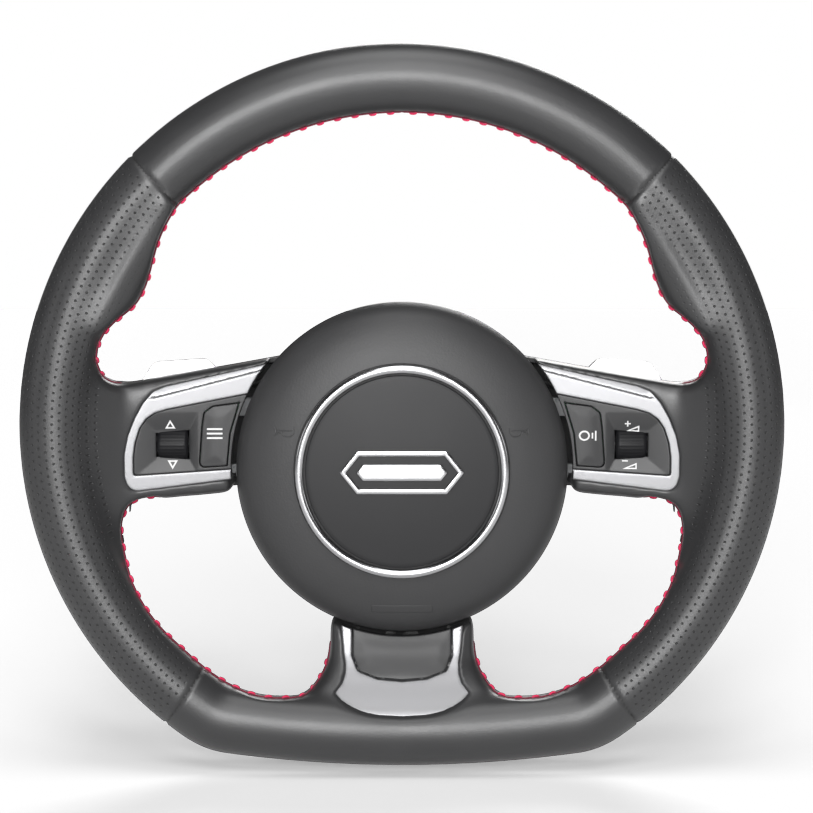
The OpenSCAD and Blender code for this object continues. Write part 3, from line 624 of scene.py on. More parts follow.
def curvedProfile(points, parts=8):
    # a smooth line through a profile's points
    points = np.asarray(points, float)
    padded = np.vstack([2 * points[0] - points[1], points, 2 * points[-1] - points[-2]])
    line = []
    for p0, p1, p2, p3 in zip(padded, padded[1:], padded[2:], padded[3:]):
        for t in np.arange(parts) / parts:
            line.append(0.5 * (2 * p1 + (p2 - p0) * t + (2 * p0 - 5 * p1 + 4 * p2 - p3) * t ** 2
                               + (3 * p1 - p0 - 3 * p2 + p3) * t ** 3))
    return np.vstack([line, points[-1]])


def tubeMesh(path, radius, sides=8, closed=False, flatten=1.0, ends=True):
    # a round bar along a path, rounded off at its ends
    path = np.asarray(path, float)
    along = np.gradient(path, axis=0)
    along /= np.maximum(np.linalg.norm(along, axis=1), 1e-9)[:, None]
    side = np.cross(along, (0, 1, 0))
    side /= np.maximum(np.linalg.norm(side, axis=1), 1e-9)[:, None]
    up = np.cross(side, along)
    size = np.full(len(path), radius)
    if ends:
        size[0] = size[-1] = radius * 0.45
    points, faces = [], []
    for p, s, u, r in zip(path, side, up, size):
        for k in range(sides):
            a = 2 * math.pi * k / sides
            points.append(p + s * math.cos(a) * r + u * math.sin(a) * r * flatten)
    for i in range(len(path) - 1):
        for k in range(sides):
            n = (k + 1) % sides
            faces.append((i * sides + k, i * sides + n, (i + 1) * sides + n, (i + 1) * sides + k))
    last = (len(path) - 1) * sides
    faces.append(tuple(range(sides))[::-1])
    faces.append(tuple(last + k for k in range(sides)))
    return points, faces


def joined(meshes):
    points, faces = [], []
    for some, these in meshes:
        start = len(points)
        points += [tuple(p) for p in some]
        faces += [tuple(start + i for i in f) for f in these]
    return points, faces


# the leather: one skin over the rim and spokes, cut into four panels

hub = (0.0, (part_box("airbag_cover")[0].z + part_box("airbag_cover")[1].z) / 2 / mm)
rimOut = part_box("leather_top")[1].z / mm
rimFlat = -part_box("leather_bottom")[0].z / mm
rimCentre = (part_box("stitch_thread")[0].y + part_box("stitch_thread")[1].y) / 2 / mm
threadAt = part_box("stitch_thread")[1].z / mm     # the thread's outside, at the rim's inner edge

leatherShape = {
    "voxel": 1.25,
    "evenOut": 5,            # smoothing everywhere
    "rootRounds": 34,        # more of it on the spoke roots and thumb rests
    "fillRounds": 60,        # and where a spoke meets the rim
    "tuck": 1.8,             # how far the leather dives under a trim
    "seamDepth": 0.85,
    "seamWidth": 0.8,
    "upperSeam": 45.5,       # degrees above the axis
    "lowerSeam": ((112.5, -139.5), (101.0, -123.0)),
    "hubEdge": 83.0,
    "rootBack": 31.0,        # a root's back behind the rim's middle
    "rootThins": 26.0,
    "draft": 0.00125,        # how much an opening widens per millimetre towards the back
    "stitchDrop": (7.0, 8.5),  # of the upper and lower stitching behind the front face
}


def trimFillers(shape):
    # closes the pockets behind the trims, so that the skin runs on below them
    for name, drop, depth in (("trim_left", 0.5, 17), ("trim_right", 0.5, 17),
                              ("trim_bottom", 0.5, 6), ("trim_bottom_insert", 0.2, 6)):
        outline = frontPatches(name)[0][0]
        front = [shape.verts.new((x, y + drop, z)) for x, y, z in outline]
        back = [shape.verts.new((x, y + depth, z)) for x, y, z in outline]
        shape.faces.new(front)
        shape.faces.new(back[::-1])
        for i in range(len(front)):
            j = (i + 1) % len(front)
            shape.faces.new((front[j], front[i], back[i], back[j]))


def remeshed(shape, voxel):
    # one closed skin round everything in a mesh
    mesh = bpy.data.meshes.new("skin")
    bmesh.ops.scale(shape, vec=(mm,) * 3, verts=shape.verts)
    bmesh.ops.recalc_face_normals(shape, faces=shape.faces)
    shape.to_mesh(mesh)
    shape.free()
    skin = bpy.data.objects.new("skin", mesh)
    bpy.context.scene.collection.objects.link(skin)
    tool = skin.modifiers.new("skin", "REMESH")
    tool.mode = "VOXEL"
    tool.voxel_size = voxel * mm
    made = skin.evaluated_get(bpy.context.evaluated_depsgraph_get()).to_mesh()
    points = np.zeros(len(made.vertices) * 3)
    made.vertices.foreach_get("co", points)
    faces = np.zeros(len(made.polygons) * 4, int)
    made.polygons.foreach_get("vertices", faces)
    bpy.data.objects.remove(skin)
    return points.reshape(-1, 3) / mm, faces.reshape(-1, 4)


def pointNormals(points, faces):
    diagonal = np.cross(points[faces[:, 2]] - points[faces[:, 0]],
                        points[faces[:, 3]] - points[faces[:, 1]])
    total = np.zeros_like(points)
    for i in range(4):
        for k in range(3):
            total[:, k] += np.bincount(faces[:, i], diagonal[:, k], len(points))
    return total / np.maximum(np.linalg.norm(total, axis=1), 1e-9)[:, None]


def smoothed(points, faces, rounds, weight, only=0):
    # moves points towards their neighbours; only=1 fills hollows and leaves edges alone
    ends = np.vstack([faces[:, [0, 1]], faces[:, [1, 2]], faces[:, [2, 3]], faces[:, [3, 0]]])
    count = np.maximum(np.bincount(ends[:, 0], minlength=len(points))
                       + np.bincount(ends[:, 1], minlength=len(points)), 1)
    for unused in range(rounds):
        pull = np.zeros_like(points)
        for k in range(3):
            pull[:, k] = (np.bincount(ends[:, 0], points[ends[:, 1], k], len(points))
                          + np.bincount(ends[:, 1], points[ends[:, 0], k], len(points))) / count
        pull -= points
        if only:
            normal = pointNormals(points, faces)
            out = np.maximum((pull * normal).sum(1), 0)
            pull = normal * out[:, None]
        points = points + pull * (0.5 * weight)[:, None]
    return points


def seamGap(x, z):
    # distance to the nearest seam plane, and which panel a point is on
    turn = math.radians(leatherShape["upperSeam"])
    upper = np.abs(x) * math.sin(turn) - z * math.cos(turn)
    (x0, z0), (x1, z1) = leatherShape["lowerSeam"]
    long = math.hypot(x1 - x0, z1 - z0)
    lower = ((np.abs(x) - x0) * (z1 - z0) - (z - z0) * (x1 - x0)) / long
    panel = np.where(x > 0, 1, 2)
    panel[(upper < 0) & (z > 60)] = 0
    panel[((lower < 0) & (z < -95)) | ((np.abs(x) < 75) & (z < -80))] = 3
    gap = np.where(z > 60, np.abs(upper), np.where(z < -95, np.abs(lower), 99.0))
    return gap, panel


def openingGuide():
    # the rim's inner edge on one side: round the top, thumb rest and notch, and the lower opening
    top = [(threadAt * math.sin(math.radians(a)), threadAt * math.cos(math.radians(a)))
           for a in np.linspace(0, 43.5, 15)]
    upper = top + [(110, 102), (116, 90), (120.5, 75), (124.5, 63.5), (130, 58), (138, 51.5),
                   (144.5, 43), (146.5, 33), (143.5, 24.5), (137, 21)]
    lower = [(119, -33.3), (128, -35.2), (133.3, -39), (135.8, -47), (135.5, -56), (131.5, -72),
             (126.5, -84), (117.5, -96.5), (108, -106), (97, -116), (87, -123), (77, -128),
             (66, -130.8), (52, -131), (45.5, -129), (40.8, -123.5), (38.3, -117), (37.2, -108)]
    return [np.array(upper, float), np.array(lower, float)]


def clearOpenings(points):
    # nothing of the leather reaches into an opening past its edge, and the walls lean open
    upper, lower = openingGuide()
    inside = (((126, 26), (110, 31), (60, 60), (0, 60)), ((60, -60),))
    for guide, rest in zip((upper, lower), inside):
        edge = curvedProfile(guide, 10)
        outline = np.vstack([edge, rest])
        draft = 1 - np.clip(points[:, 1] - rimCentre, 0, 40) * leatherShape["draft"]
        flat = np.c_[np.abs(points[:, 0]), points[:, 2]] * draft[:, None]
        here = np.where(insideLoops(flat, [outline]))[0]
        for i in here:
            away = edge - flat[i]
            spot = edge[(away * away).sum(1).argmin()] / draft[i]
            points[i, 0], points[i, 2] = math.copysign(spot[0], points[i, 0]), spot[1]
    return points


def seatedPath(tree, guide, side, drop):
    # lays a front view path on the leather, a little behind the front edge
    line = curvedProfile(guide, 10)
    line[:, 0] *= side
    path, normals = [], []
    ahead = np.gradient(line, axis=0)
    ahead /= np.linalg.norm(ahead, axis=1)[:, None]
    toOpening = np.c_[-ahead[:, 1], ahead[:, 0]] * -side
    for (x, z), (ox, oz) in zip(line, toOpening):
        hit = tree.ray_cast(Vector((x - ox * 3.2, -200, z - oz * 3.2)), Vector((0, 1, 0)))[0]
        if hit is None:
            continue
        spot, normal, *rest = tree.find_nearest(Vector((x + ox * 2.5, hit.y + drop, z + oz * 2.5)))
        path.append(tuple(spot))
        normals.append(tuple(normal))
    path, normals = np.array(path), np.array(normals)
    for unused in range(14):
        path[1:-1] = (path[:-2] + 2 * path[1:-1] + path[2:]) / 4
        normals[1:-1] = (normals[:-2] + 2 * normals[1:-1] + normals[2:]) / 4
    far = np.r_[0, np.cumsum(np.linalg.norm(np.diff(path, axis=0), axis=1))]
    even = np.linspace(0, far[-1], int(far[-1] / 0.6))
    path = np.c_[[np.interp(even, far, path[:, k]) for k in range(3)]].T
    normals = np.c_[[np.interp(even, far, normals[:, k]) for k in range(3)]].T
    return path, normals / np.linalg.norm(normals, axis=1)[:, None]


def buildLeather():
    look = leatherShape
    shape = cadMesh("leather_top", "leather_left", "leather_right", "leather_bottom", "rim_foam",
                    "armature")
    trimFillers(shape)
    points, faces = remeshed(shape, look["voxel"])
    x, z = points[:, 0], points[:, 2]
    deep = np.minimum(rimOut - np.hypot(x, z), rimFlat + z)
    beside = np.maximum(step(np.abs(x), 60, 80) * (1 - step(z, 105, 120)) * step(z, -95, -75),
                        (1 - step(np.abs(x), 58, 75)) * (z < 0))
    thumb = step(deep, 10, 22) * step(z, 30, 48) * (1 - step(z, 98, 114)) * (np.abs(x) > 90)
    root = np.maximum(step(deep, 25, 36) * beside, thumb)
    # below a side spoke, its root thins out towards the rim's own section
    grip = (rimOut - threadAt) / 2
    section = np.sqrt(np.maximum(grip ** 2 - (np.clip(deep, 0, 2 * grip) - grip) ** 2, 0))
    thinned = look["rootBack"] - look["rootThins"] * step(-z, 34, 76)
    limit = rimCentre + np.maximum(thinned, section + 1)
    below = (np.abs(x) > 105) & (z < -34) & (z > -100) & (deep > 8) & (points[:, 1] > limit)
    points[below, 1] = limit[below]
    everywhere = np.ones(len(points))
    points = smoothed(points, faces, look["evenOut"], everywhere)
    points = smoothed(points, faces, look["rootRounds"], root)
    points = smoothed(points, faces, look["fillRounds"], step(deep, 12, 30) * beside, only=1)
    points = clearOpenings(smoothed(points, faces, 3, everywhere))
    points = smoothed(points, faces, 4, everywhere)
    print("leather skin:", len(points), "points")

    tree = BVHTree.FromPolygons(points.tolist(), faces.tolist())
    paths = [seatedPath(tree, guide, side, drop) for side in (1, -1)
             for guide, drop in zip(openingGuide(), look["stitchDrop"])]
    near = KDTree(sum(len(p) for p, n in paths))
    for i, spot in enumerate(np.vstack([p for p, n in paths])):
        near.insert(spot, i)
    near.balance()

    # dive below the trims
    x, z = points[:, 0].copy(), points[:, 2].copy()
    normal = pointNormals(points, faces)
    flat = np.c_[x, z]
    for name in ("trim_left", "trim_right", "trim_bottom"):
        outline = evenly(flatLoops(frontPatches(name)[0])[0], 1.5)
        here = np.where((np.abs(x) < 140) & (z < 40) & (normal[:, 1] < -0.2))[0]
        gap = fromEdge(flat[here], outline)[0]
        inner = np.where(insideLoops(flat[here], [outline]), gap, -gap)
        points[here, 1] += look["tuck"] * step(inner, -0.15, 1.0)
    insert = evenly(flatLoops(frontPatches("trim_bottom_insert")[0])[0], 1.5)
    here = np.where(insideLoops(flat, [insert]) & (normal[:, 1] < -0.2))[0]
    points[here, 1] += look["tuck"]

    # press the seams in
    gap, panel = seamGap(x, z)
    ring = np.hypot(x, z) > 120
    points -= normal * (look["seamDepth"] * np.exp(-(gap / look["seamWidth"]) ** 2) * ring)[:, None]
    stitchGap = np.array([near.find(p)[2] for p in points])
    points -= normal * (0.45 * np.exp(-(stitchGap / 1.1) ** 2))[:, None]
    # crease marks the seams and the stitch lines; the leather finish darkens its colour there as painted shade
    crease = np.maximum(np.exp(-(gap / 0.55) ** 2) * ring, 0.7 * np.exp(-(stitchGap / 0.9) ** 2))

    # where the rows of holes run: along the rim, and round its section
    away = np.hypot(x, z)
    outward = (normal[:, 0] * x + normal[:, 2] * z) / away
    lean = np.arctan2(outward, -normal[:, 1])
    lean = np.clip(lean, -2.6, 2.6)
    stretch = np.where(np.abs(lean) < 0.05, 1, lean / np.sin(np.where(np.abs(lean) < 0.05, 1, lean)))
    across = (away - (rimOut + threadAt) / 2) * stretch
    along = np.arctan2(z, np.abs(x)) * (rimOut + threadAt) / 2
    trim = np.full(len(points), 99.0)
    for name in ("trim_left", "trim_right"):
        outline = evenly(flatLoops(frontPatches(name)[0])[0], 1.5)
        here = np.where((np.abs(x) < 150) & (np.abs(z) < 60) & (x * outline[0, 0] > 0))[0]
        gapHere = fromEdge(flat[here], outline)[0]
        trim[here] = np.where(insideLoops(flat[here], [outline]), 0, gapHere)
    punched = step(gap, 3.2, 4.6) * step(stitchGap, 6.0, 9.5) * step(trim, 2.5, 4.5)
    even = np.abs(outward - (away - (rimOut + threadAt) / 2) / 16.5)
    punched *= (1 - step(even, 0.45, 0.8)) * step(lean, -1.25, -0.95)
    punched *= np.where(away < 146, step(z, -33, -27) * (1 - step(z, 14, 21)), 1)
    punched *= ((panel == 1) | (panel == 2)) & (away > 122)

    names = ("leatherTop", "leatherRight", "leatherLeft", "leatherBottom")
    stands = (("leather_top",), ("leather_right",), ("leather_left",), ("leather_bottom",))
    middle = points[faces].mean(1)
    kept = np.hypot(middle[:, 0] - hub[0], middle[:, 2] - hub[1]) > look["hubEdge"]
    facePanel = seamGap(middle[:, 0], middle[:, 2])[1]
    for i, name in enumerate(names):
        mine = faces[kept & (facePanel == i)]
        used, packed = np.unique(mine, return_inverse=True)
        piece = addPiece(name, points[used], packed.reshape(-1, 4), "wheel", "leather", "leather",
                         stands[i], sharp=70)
        for title, kind, values in (("wrap", "FLOAT_VECTOR",
                                     np.c_[along, across, punched][used]),
                                    ("crease", "FLOAT", crease[used])):
            data = piece.data.attributes.new(title, kind, "POINT").data
            data.foreach_set("vector" if kind == "FLOAT_VECTOR" else "value",
                             values.astype(np.float32).ravel())
    return paths, BVHTree.FromPolygons(points.tolist(), faces.tolist())


foamShape = {"voxel": 2.4, "evenOut": 6, "gap": 1.3}


def buildFoam(skin):
    # the foam below the leather, kept inside it
    look = foamShape
    points, faces = remeshed(cadMesh("rim_foam"), look["voxel"])
    points = clearOpenings(smoothed(points, faces, look["evenOut"], np.ones(len(points))))
    for i, point in enumerate(points):
        spot, normal, *rest = skin.find_nearest(Vector(point))
        if (Vector(point) - spot).dot(normal) > -look["gap"]:
            points[i] = spot - normal * look["gap"]
    piece = addPiece("rimFoam", points, faces, "wheel", "foam", "foam", ("rim_foam",), sharp=70)
    print("foam:", len(points), "points")


stitchShape = {
    "pitch": 8.4,            # from one bright stitch to the next
    "length": 4.2,
    "radius": 0.56,
    "threadRadius": 0.42,
    "slant": 0.55,           # how far a stitch leans over its length
}


def buildStitches(paths):
    look = stitchShape
    bright, dark = [], []
    for path, normal in paths:
        ahead = np.gradient(path, axis=0)
        ahead /= np.linalg.norm(ahead, axis=1)[:, None]
        side = np.cross(normal, ahead)
        spacing = np.linalg.norm(np.diff(path, axis=0), axis=1).mean()
        weave = np.sin(np.arange(len(path)) * spacing * 2 * math.pi / look["pitch"])
        run = path + normal * 0.05 + side * (weave * 0.3)[:, None]
        # the run between the bright stitches carries a darker copy of the thread's red: painted shade along the
        # stitch groove
        dark.append(tubeMesh(run[::2], look["threadRadius"], 6))
        every = look["pitch"] / spacing
        half = int(look["length"] / spacing / 2)
        for k in range(int((len(path) - 2 * half) / every)):
            middle = int(half + (k + 0.5) * every)
            pick = slice(middle - half, middle + half + 1)
            t = np.linspace(-1, 1, 2 * half + 1)
            lift = 0.35 + 0.5 * (1 - t ** 2)
            line = path[pick] + normal[pick] * lift[:, None] + side[pick] * (t * look["slant"])[:, None]
            bright.append(tubeMesh(line, look["radius"], 8))
    addPiece("stitchThread", *joined(dark), "wheel", "darkThread", "thread")
    addPiece("stitches", *joined(bright), "wheel", "thread", "thread", ("stitch_thread",))
    print("stitches:", len(bright))


paths, skin = buildLeather()
buildFoam(skin)
buildStitches(paths)


# silver trims and the bottom spoke

trimShape = {
    "edge": 0.6,
    "creaseAt": (90, 22.4),  # a point on the crease below the upper chamfer
    "creaseSlope": -0.25,
    "chamfer": 0.27,         # rise of the chamfer per millimetre
    "groove": 0.5,
}


def creaseHeight(x, z):
    look = trimShape
    return z - look["creaseAt"][1] - look["creaseSlope"] * (np.abs(x) - look["creaseAt"][0])


def buildSideTrim(side):
    look = trimShape
    loops = frontPatches("trim_" + side)[0]
    face = faceFit(loops[0])

    def lift(x, z, edge):
        above = creaseHeight(x, z)
        near = 1 - step(np.abs(x), 119, 124)
        chamfer = np.maximum(above, 0) * look["chamfer"]
        groove = look["groove"] * np.exp(-((above + 0.2) / 0.32) ** 2)
        return face(x, z) + (chamfer + groove) * near + roundOver(edge.any, look["edge"])

    sign = 1 if side == "right" else -1
    extra = [(sign * x, look["creaseAt"][1] + look["creaseSlope"] * (x - look["creaseAt"][0]) + up)
             for up in (-0.9, -0.55, -0.2, 0.0, 0.25) for x in np.arange(58, 124, 0.8)]
    made = plateMesh(flatLoops(loops), lift, 2.4, extra=extra)
    addPiece("sideTrim." + side, *made, "wheel", "satin_trim", "satin_trim", ("trim_" + side,))


def footFace(loop):
    # the bottom spoke's face depends only on the height, and is eased over its bends
    order = np.argsort(loop[:, 2])
    heights, depths = loop[order, 2], loop[order, 1]
    return lambda x, z: sum(np.interp(z + k, heights, depths) for k in range(-4, 5)) / 9


def buildFootTrim():
    loops = frontPatches("trim_bottom")[0]
    face = footFace(loops[0])
    made = plateMesh(flatLoops(loops), lambda x, z, e: face(x, z) + roundOver(e.any, 0.9), 2.2,
                     rings=(0.08, 0.25, 0.5, 0.9), cell=1.2)
    addPiece("footTrim", *made, "wheel", "satin_trim", "satin_trim", ("trim_bottom",))
    loops = frontPatches("trim_bottom_insert")[0]
    inner = footFace(loops[0])

    def lift(x, z, edge):
        return inner(x, z) + roundOver(edge.any, 0.7) - 0.5 * step(edge.any, 0, 7)

    made = plateMesh(flatLoops(loops), lift, 1.8, cell=1.5)
    addPiece("footInsert", *made, "wheel", "panel_plastic", "panel_plastic",
             ("trim_bottom_insert",))


for side in ("left", "right"):
    buildSideTrim(side)
buildFootTrim()
print("trims made")


# switch panels, pads, rollers and their marks

panelShape = {
    "edge": 0.35,
    "hopperDepth": 1.5,      # of the hollow round a roller
    "towardsPad": 4.8,       # its width on the pad's side
    "awayFromPad": 11.0,
    "upAndDown": 9.0,
}


def panelLift(side):
    look = panelShape
    loops = frontPatches("switch_panel_" + side)[0]
    face = faceFit(loops[0])
    window = flatLoops(loops)[-1]
    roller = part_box("roller_" + side)
    at = ((roller[0] + roller[1]) / 2 / mm)
    half = (np.ptp(window[:, 0]) / 2, np.ptp(window[:, 1]) / 2)

    def hopper(x, z):
        out = np.abs(x) - abs(at.x)
        wide = np.where(out > 0, look["awayFromPad"], look["towardsPad"])
        far = np.maximum((np.abs(out) - half[0]) / wide, (np.abs(z - at.z) - half[1]) / look["upAndDown"])
        far = np.clip(far, 0, 1)
        return look["hopperDepth"] * (1 - far) * (1 - 0.25 * far)

    return loops, lambda x, z: face(x, z) + hopper(x, z)


def buildPanel(side):
    loops, surface = panelLift(side)
    sign = 1 if side == "right" else -1
    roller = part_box("roller_" + side)
    at = ((roller[0] + roller[1]) / 2 / mm)

    def lift(x, z, edge):
        return surface(x, z) + roundOver(edge.outer, panelShape["edge"]) + roundOver(edge.inner, 0.3)

    extra = []
    for dx, dz in ((-1, 1), (-1, -1), (1, 1), (1, -1)):    # the hollow's four ridges
        wide = panelShape["awayFromPad"] if dx > 0 else panelShape["towardsPad"]
        extra += [(sign * (abs(at.x) + dx * (8 + wide * t)), at.z + dz * (5.75 + panelShape["upAndDown"] * t))
                  for t in np.linspace(0.03, 1, 16)]
    made = plateMesh(flatLoops(loops), lift, 2.2, rings=(0.06, 0.2, 0.4), cell=0.8, extra=extra)
    addPiece("switchPanel." + side, *made, "wheel", "panel_plastic", "panel_plastic",
             ("switch_panel_" + side,), sharp=50)
    return surface


def buildPad(name, node, body):
    loops = frontPatches(node)[0][:1]
    level = loops[0][:, 1].mean()

    def lift(x, z, edge):
        return level + roundOver(edge.any, 0.5) - 0.35 * step(edge.any, 0, 6)

    made = plateMesh(flatLoops(loops), lift, 3.2, rings=(0.06, 0.18, 0.35, 0.55), cell=0.9)
    addPiece(name, *made, body, "pad", "panel_plastic", (node,))
    return lambda x, z: np.full(np.shape(x), level - 0.3)


rollerShape = {"ribs": 30, "ribDepth": 0.09, "shoulder": 1.4, "crown": 0.25}


def buildRoller(side):
    look = rollerShape
    low, high = (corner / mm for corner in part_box("roller_" + side))
    middle, radius, half = (low + high) / 2, (high.z - low.z) / 2, (high.x - low.x) / 2
    places = np.r_[-half, -half + 0.15, -half + 0.5, -half + look["shoulder"],
                   np.linspace(-half + 2.2, half - 2.2, 9),
                   half - look["shoulder"], half - 0.5, half - 0.15, half]
    around = look["ribs"] * 8
    points, faces = [], []
    for x in places:
        end = half - abs(x)
        shoulder = look["shoulder"] - math.sqrt(
            max(look["shoulder"] ** 2 - max(look["shoulder"] - end, 0) ** 2, 0))
        size = radius - shoulder - look["crown"] * (x / half) ** 2
        for k in range(around):
            a = 2 * math.pi * k / around
            rib = look["ribDepth"] * (0.5 - 0.5 * math.cos(look["ribs"] * a)) * min(1, end / 2)
            points.append((middle.x + x, middle.y + (size - rib) * math.cos(a),
                           middle.z + (size - rib) * math.sin(a)))
    for i in range(len(places) - 1):
        for k in range(around):
            n = (k + 1) % around
            faces.append((i * around + k, i * around + n, (i + 1) * around + n, (i + 1) * around + k))
    last = (len(places) - 1) * around
    faces.append(tuple(range(around))[::-1])
    faces.append(tuple(last + k for k in range(around)))
    addPiece("roller." + side, points, faces, "thumb_roller_" + side, "roller", "panel_plastic",
             ("roller_" + side,), sharp=60)


def ring(cx, cz, rx, rz, count=28, start=0.0, end=2 * math.pi):
    return [(cx + rx * math.cos(a), cz + rz * math.sin(a))
            for a in np.linspace(start, end, count, endpoint=False)]


def bar(x0, z0, x1, z1):
    return [(x0, z0), (x1, z0), (x1, z1), (x0, z1)]


def buildMark(name, shapes, surface, body, raised=0.06):
    # printed marks that follow the surface below them; each shape is an outline and its holes
    made = []
    for loops in shapes:
        loops = [np.array(loop, float) for loop in loops]
        made.append(plateMesh(loops, lambda x, z, e: surface(x, z) - raised, raised * 1.5,
                              rings=(), cell=0.7))
    addPiece(name, *joined(made), body, "ink", "panel_plastic")


def arrow(x, z, width, height):
    # an outlined triangle, which points down when its height is below zero
    outer = [(x - width / 2, z), (x + width / 2, z), (x, z + height)]
    cx, cz = x, z + height / 3
    inner = [(cx + (px - cx) * 0.5, cz + (pz - cz) * 0.5) for px, pz in outer]
    return [outer, inner]


def plusAndWedge(x, z, minus):
    wedge = [(x - 3.6, z - 2.6), (x + 3.4, z - 2.6), (x + 3.4, z + 0.4)]
    hollow = [(x - 0.9, z - 2.0), (x + 2.8, z - 2.0), (x + 2.8, z - 0.6)]
    shapes = [[wedge, hollow], [bar(x - 3.6, z + 1.0, x - 0.8, z + 1.6)]]
    if not minus:
        shapes.append([bar(x - 2.5, z - 0.1, x - 1.9, z + 2.7)])
    return shapes


surfaces = {side: buildPanel(side) for side in ("left", "right")}
modeTop = buildPad("modePad", "mode_button", "mode_pad")
voiceTop = buildPad("voicePad", "voice_button", "voice_pad")
for side in ("left", "right"):
    buildRoller(side)
buildMark("scrollMarks", [arrow(-113, -0.7, 5, 4.3), arrow(-112, -16.3, 5, -4.3)],
          surfaces["left"], "wheel")
buildMark("volumeMarks", plusAndWedge(112.3, 0.4, False) + plusAndWedge(111.2, -17.9, True),
          surfaces["right"], "wheel")
buildMark("menuMark", [[bar(-95.2, z, -87.6, z + 0.85)] for z in (-1.4, -3.6, -5.8)],
          modeTop, "mode_pad")
buildMark("voiceMark", [[ring(89.0, -4.2, 2.7, 2.5), ring(89.0, -4.2, 1.9, 1.7)],
                        [bar(92.6, -5.6, 93.3, -2.8)], [bar(94.2, -6.6, 94.9, -1.8)]],
          voiceTop, "voice_pad")
print("switches made")


# the airbag cover, its ring, disc and badge

def outsideProfile(name, centre):
    # the front outline of a turned node as (radius, y), from its edge in to the middle
    shape = cadMesh(name)
    found = sorted({(round(math.hypot(v.co.x - centre[0], v.co.z - centre[1]), 1), round(v.co.y, 2))
                    for v in shape.verts}, key=lambda p: (-p[0], p[1]))
    shape.free()
    line = []
    for radius, y in found:
        if not line or (y < line[-1][1] - 0.05 and radius < line[-1][0] - 0.3):
            line.append((radius, y))
    return line


def buildCover():
    outline = outsideProfile("airbag_cover", hub)
    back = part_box("airbag_cover")[1].y / mm
    ringOut = (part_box("ring_trim")[1].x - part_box("ring_trim")[0].x) / 2 / mm
    dome = curvedProfile(outline, 10)
    far = np.r_[0, np.cumsum(np.linalg.norm(np.diff(dome, axis=0), axis=1))]
    even = np.linspace(0, far[-1], 140)
    dome = np.c_[np.interp(even, far, dome[:, 0]), np.interp(even, far, dome[:, 1])]
    for unused in range(60):
        dome[1:-1] = (dome[:-2] + 2 * dome[1:-1] + dome[2:]) / 4
    groove = ringOut + 0.45
    inward = dome[dome[:, 0] > groove + 0.3]
    lip = float(np.interp(groove, dome[::-1, 0], dome[::-1, 1]))
    floor = lip + 1.6
    profile = ([(outline[0][0] - 1.2, back), (outline[0][0] - 0.1, back), (outline[0][0], back - 0.6)]
               + [tuple(p) for p in inward]
               + [(groove + 0.25, lip), (groove + 0.05, lip + 0.12), (groove, lip + 0.4),
                  (groove, floor), (groove - 7, floor)])
    points, faces = turnMesh(profile, hub, 256)
    addPiece("airbagCover", points, [f[::-1] for f in faces], "airbag_module", "cover_plastic",
             "cover_plastic", ("airbag_cover",), sharp=50)
    return lambda x, z: np.interp(np.hypot(x - hub[0], z - hub[1]), dome[::-1, 0], dome[::-1, 1])


def buildRing():
    low, high = (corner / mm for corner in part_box("ring_trim"))
    outer = (high.x - low.x) / 2
    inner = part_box("ring_disc")[1].x / mm + 1.0
    crown, middle, half = low.y, (outer + inner) / 2, (outer - inner) / 2
    profile = [(outer, high.y), (outer, crown + 1.2)]
    profile += [(middle + half * math.cos(a), crown + 1.2 - 1.25 * math.sin(a))
                for a in np.linspace(0.12, math.pi - 0.12, 15)]
    profile += [(inner, crown + 1.2), (inner, high.y)]
    points, faces = turnMesh(profile, hub, 256)
    addPiece("brightRing", points, [f[::-1] for f in faces], "airbag_module", "bright_ring", "bright_ring",
             ("ring_trim",), sharp=60)


def buildDisc():
    low, high = (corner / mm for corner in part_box("ring_disc"))
    size = (high.x - low.x) / 2
    rise = 1.6
    profile = [(size, high.y + 1.0), (size, low.y + rise + 0.35), (size - 0.12, low.y + rise + 0.1)]
    profile += [(r, low.y + rise * (r / size) ** 2) for r in np.linspace(size - 0.5, 0.4, 26)]
    points, faces = turnMesh(profile, hub, 192)
    faces.append(tuple(len(points) - 192 + k for k in range(192)))
    addPiece("coverDisc", points, [f[::-1] for f in faces], "airbag_module", "disc", "panel_plastic",
             ("ring_disc",), sharp=50)


def buildBadge():
    made = []
    for loops in frontPatches("emblem"):
        level = loops[0][:, 1].mean()
        made.append(plateMesh(flatLoops(loops), lambda x, z, e: level + roundOver(e.any, 0.75), 1.2,
                              rings=(0.06, 0.18, 0.38, 0.62), cell=0.9))
    addPiece("badge", *joined(made), "airbag_module", "bright_ring", "bright_ring", ("emblem",))


def buildEmbossing(dome):
    # two small horn shapes and a blank plate, raised from the cover
    strokes = []
    for side in (-1, 1):
        lines = [[(61, 1.6), (60.4, -0.4), (61, -3.0)], [(60.8, 1.0), (58.6, -0.3), (51.5, -0.3)],
                 [(60.8, -2.4), (58.8, -1.3), (57.6, -1.3)],
                 [(57.6, -0.4), (56.8, -2.4), (55.4, -3.1), (53.2, -3.1), (51.8, -2.0), (51.5, -0.3),
                  (51.3, 1.6)]]
        for line in lines:
            line = curvedProfile(np.array(line, float), 5)
            line[:, 0] = (line[:, 0] + 0.4) * side
            y = dome(line[:, 0], line[:, 1]) - 0.05
            strokes.append(tubeMesh(np.c_[line[:, 0], y, line[:, 1]], 0.3, 6))
    addPiece("hornMarks", *joined(strokes), "airbag_module", "cover_plastic", "cover_plastic")
    low = hub[1] - 67.5
    blank = [(x, z) for x0, z0, a0 in ((14, low + 1, 0), (-14, low + 1, 90), (-14, low - 1, 180),
                                       (14, low - 1, 270))
             for x, z in ring(x0, z0, 1, 1, 4, math.radians(a0), math.radians(a0 + 90))]
    made = plateMesh([np.array(blank)], lambda x, z, e: dome(x, z) - 0.3 + roundOver(e.any, 0.3), 0.5,
                     rings=(0.08, 0.2, 0.35), cell=0.8)
    addPiece("blankPlate", *made, "airbag_module", "cover_plastic", "cover_plastic")


dome = buildCover()
buildRing()
buildDisc()
buildBadge()
buildEmbossing(dome)
print("airbag cover made")


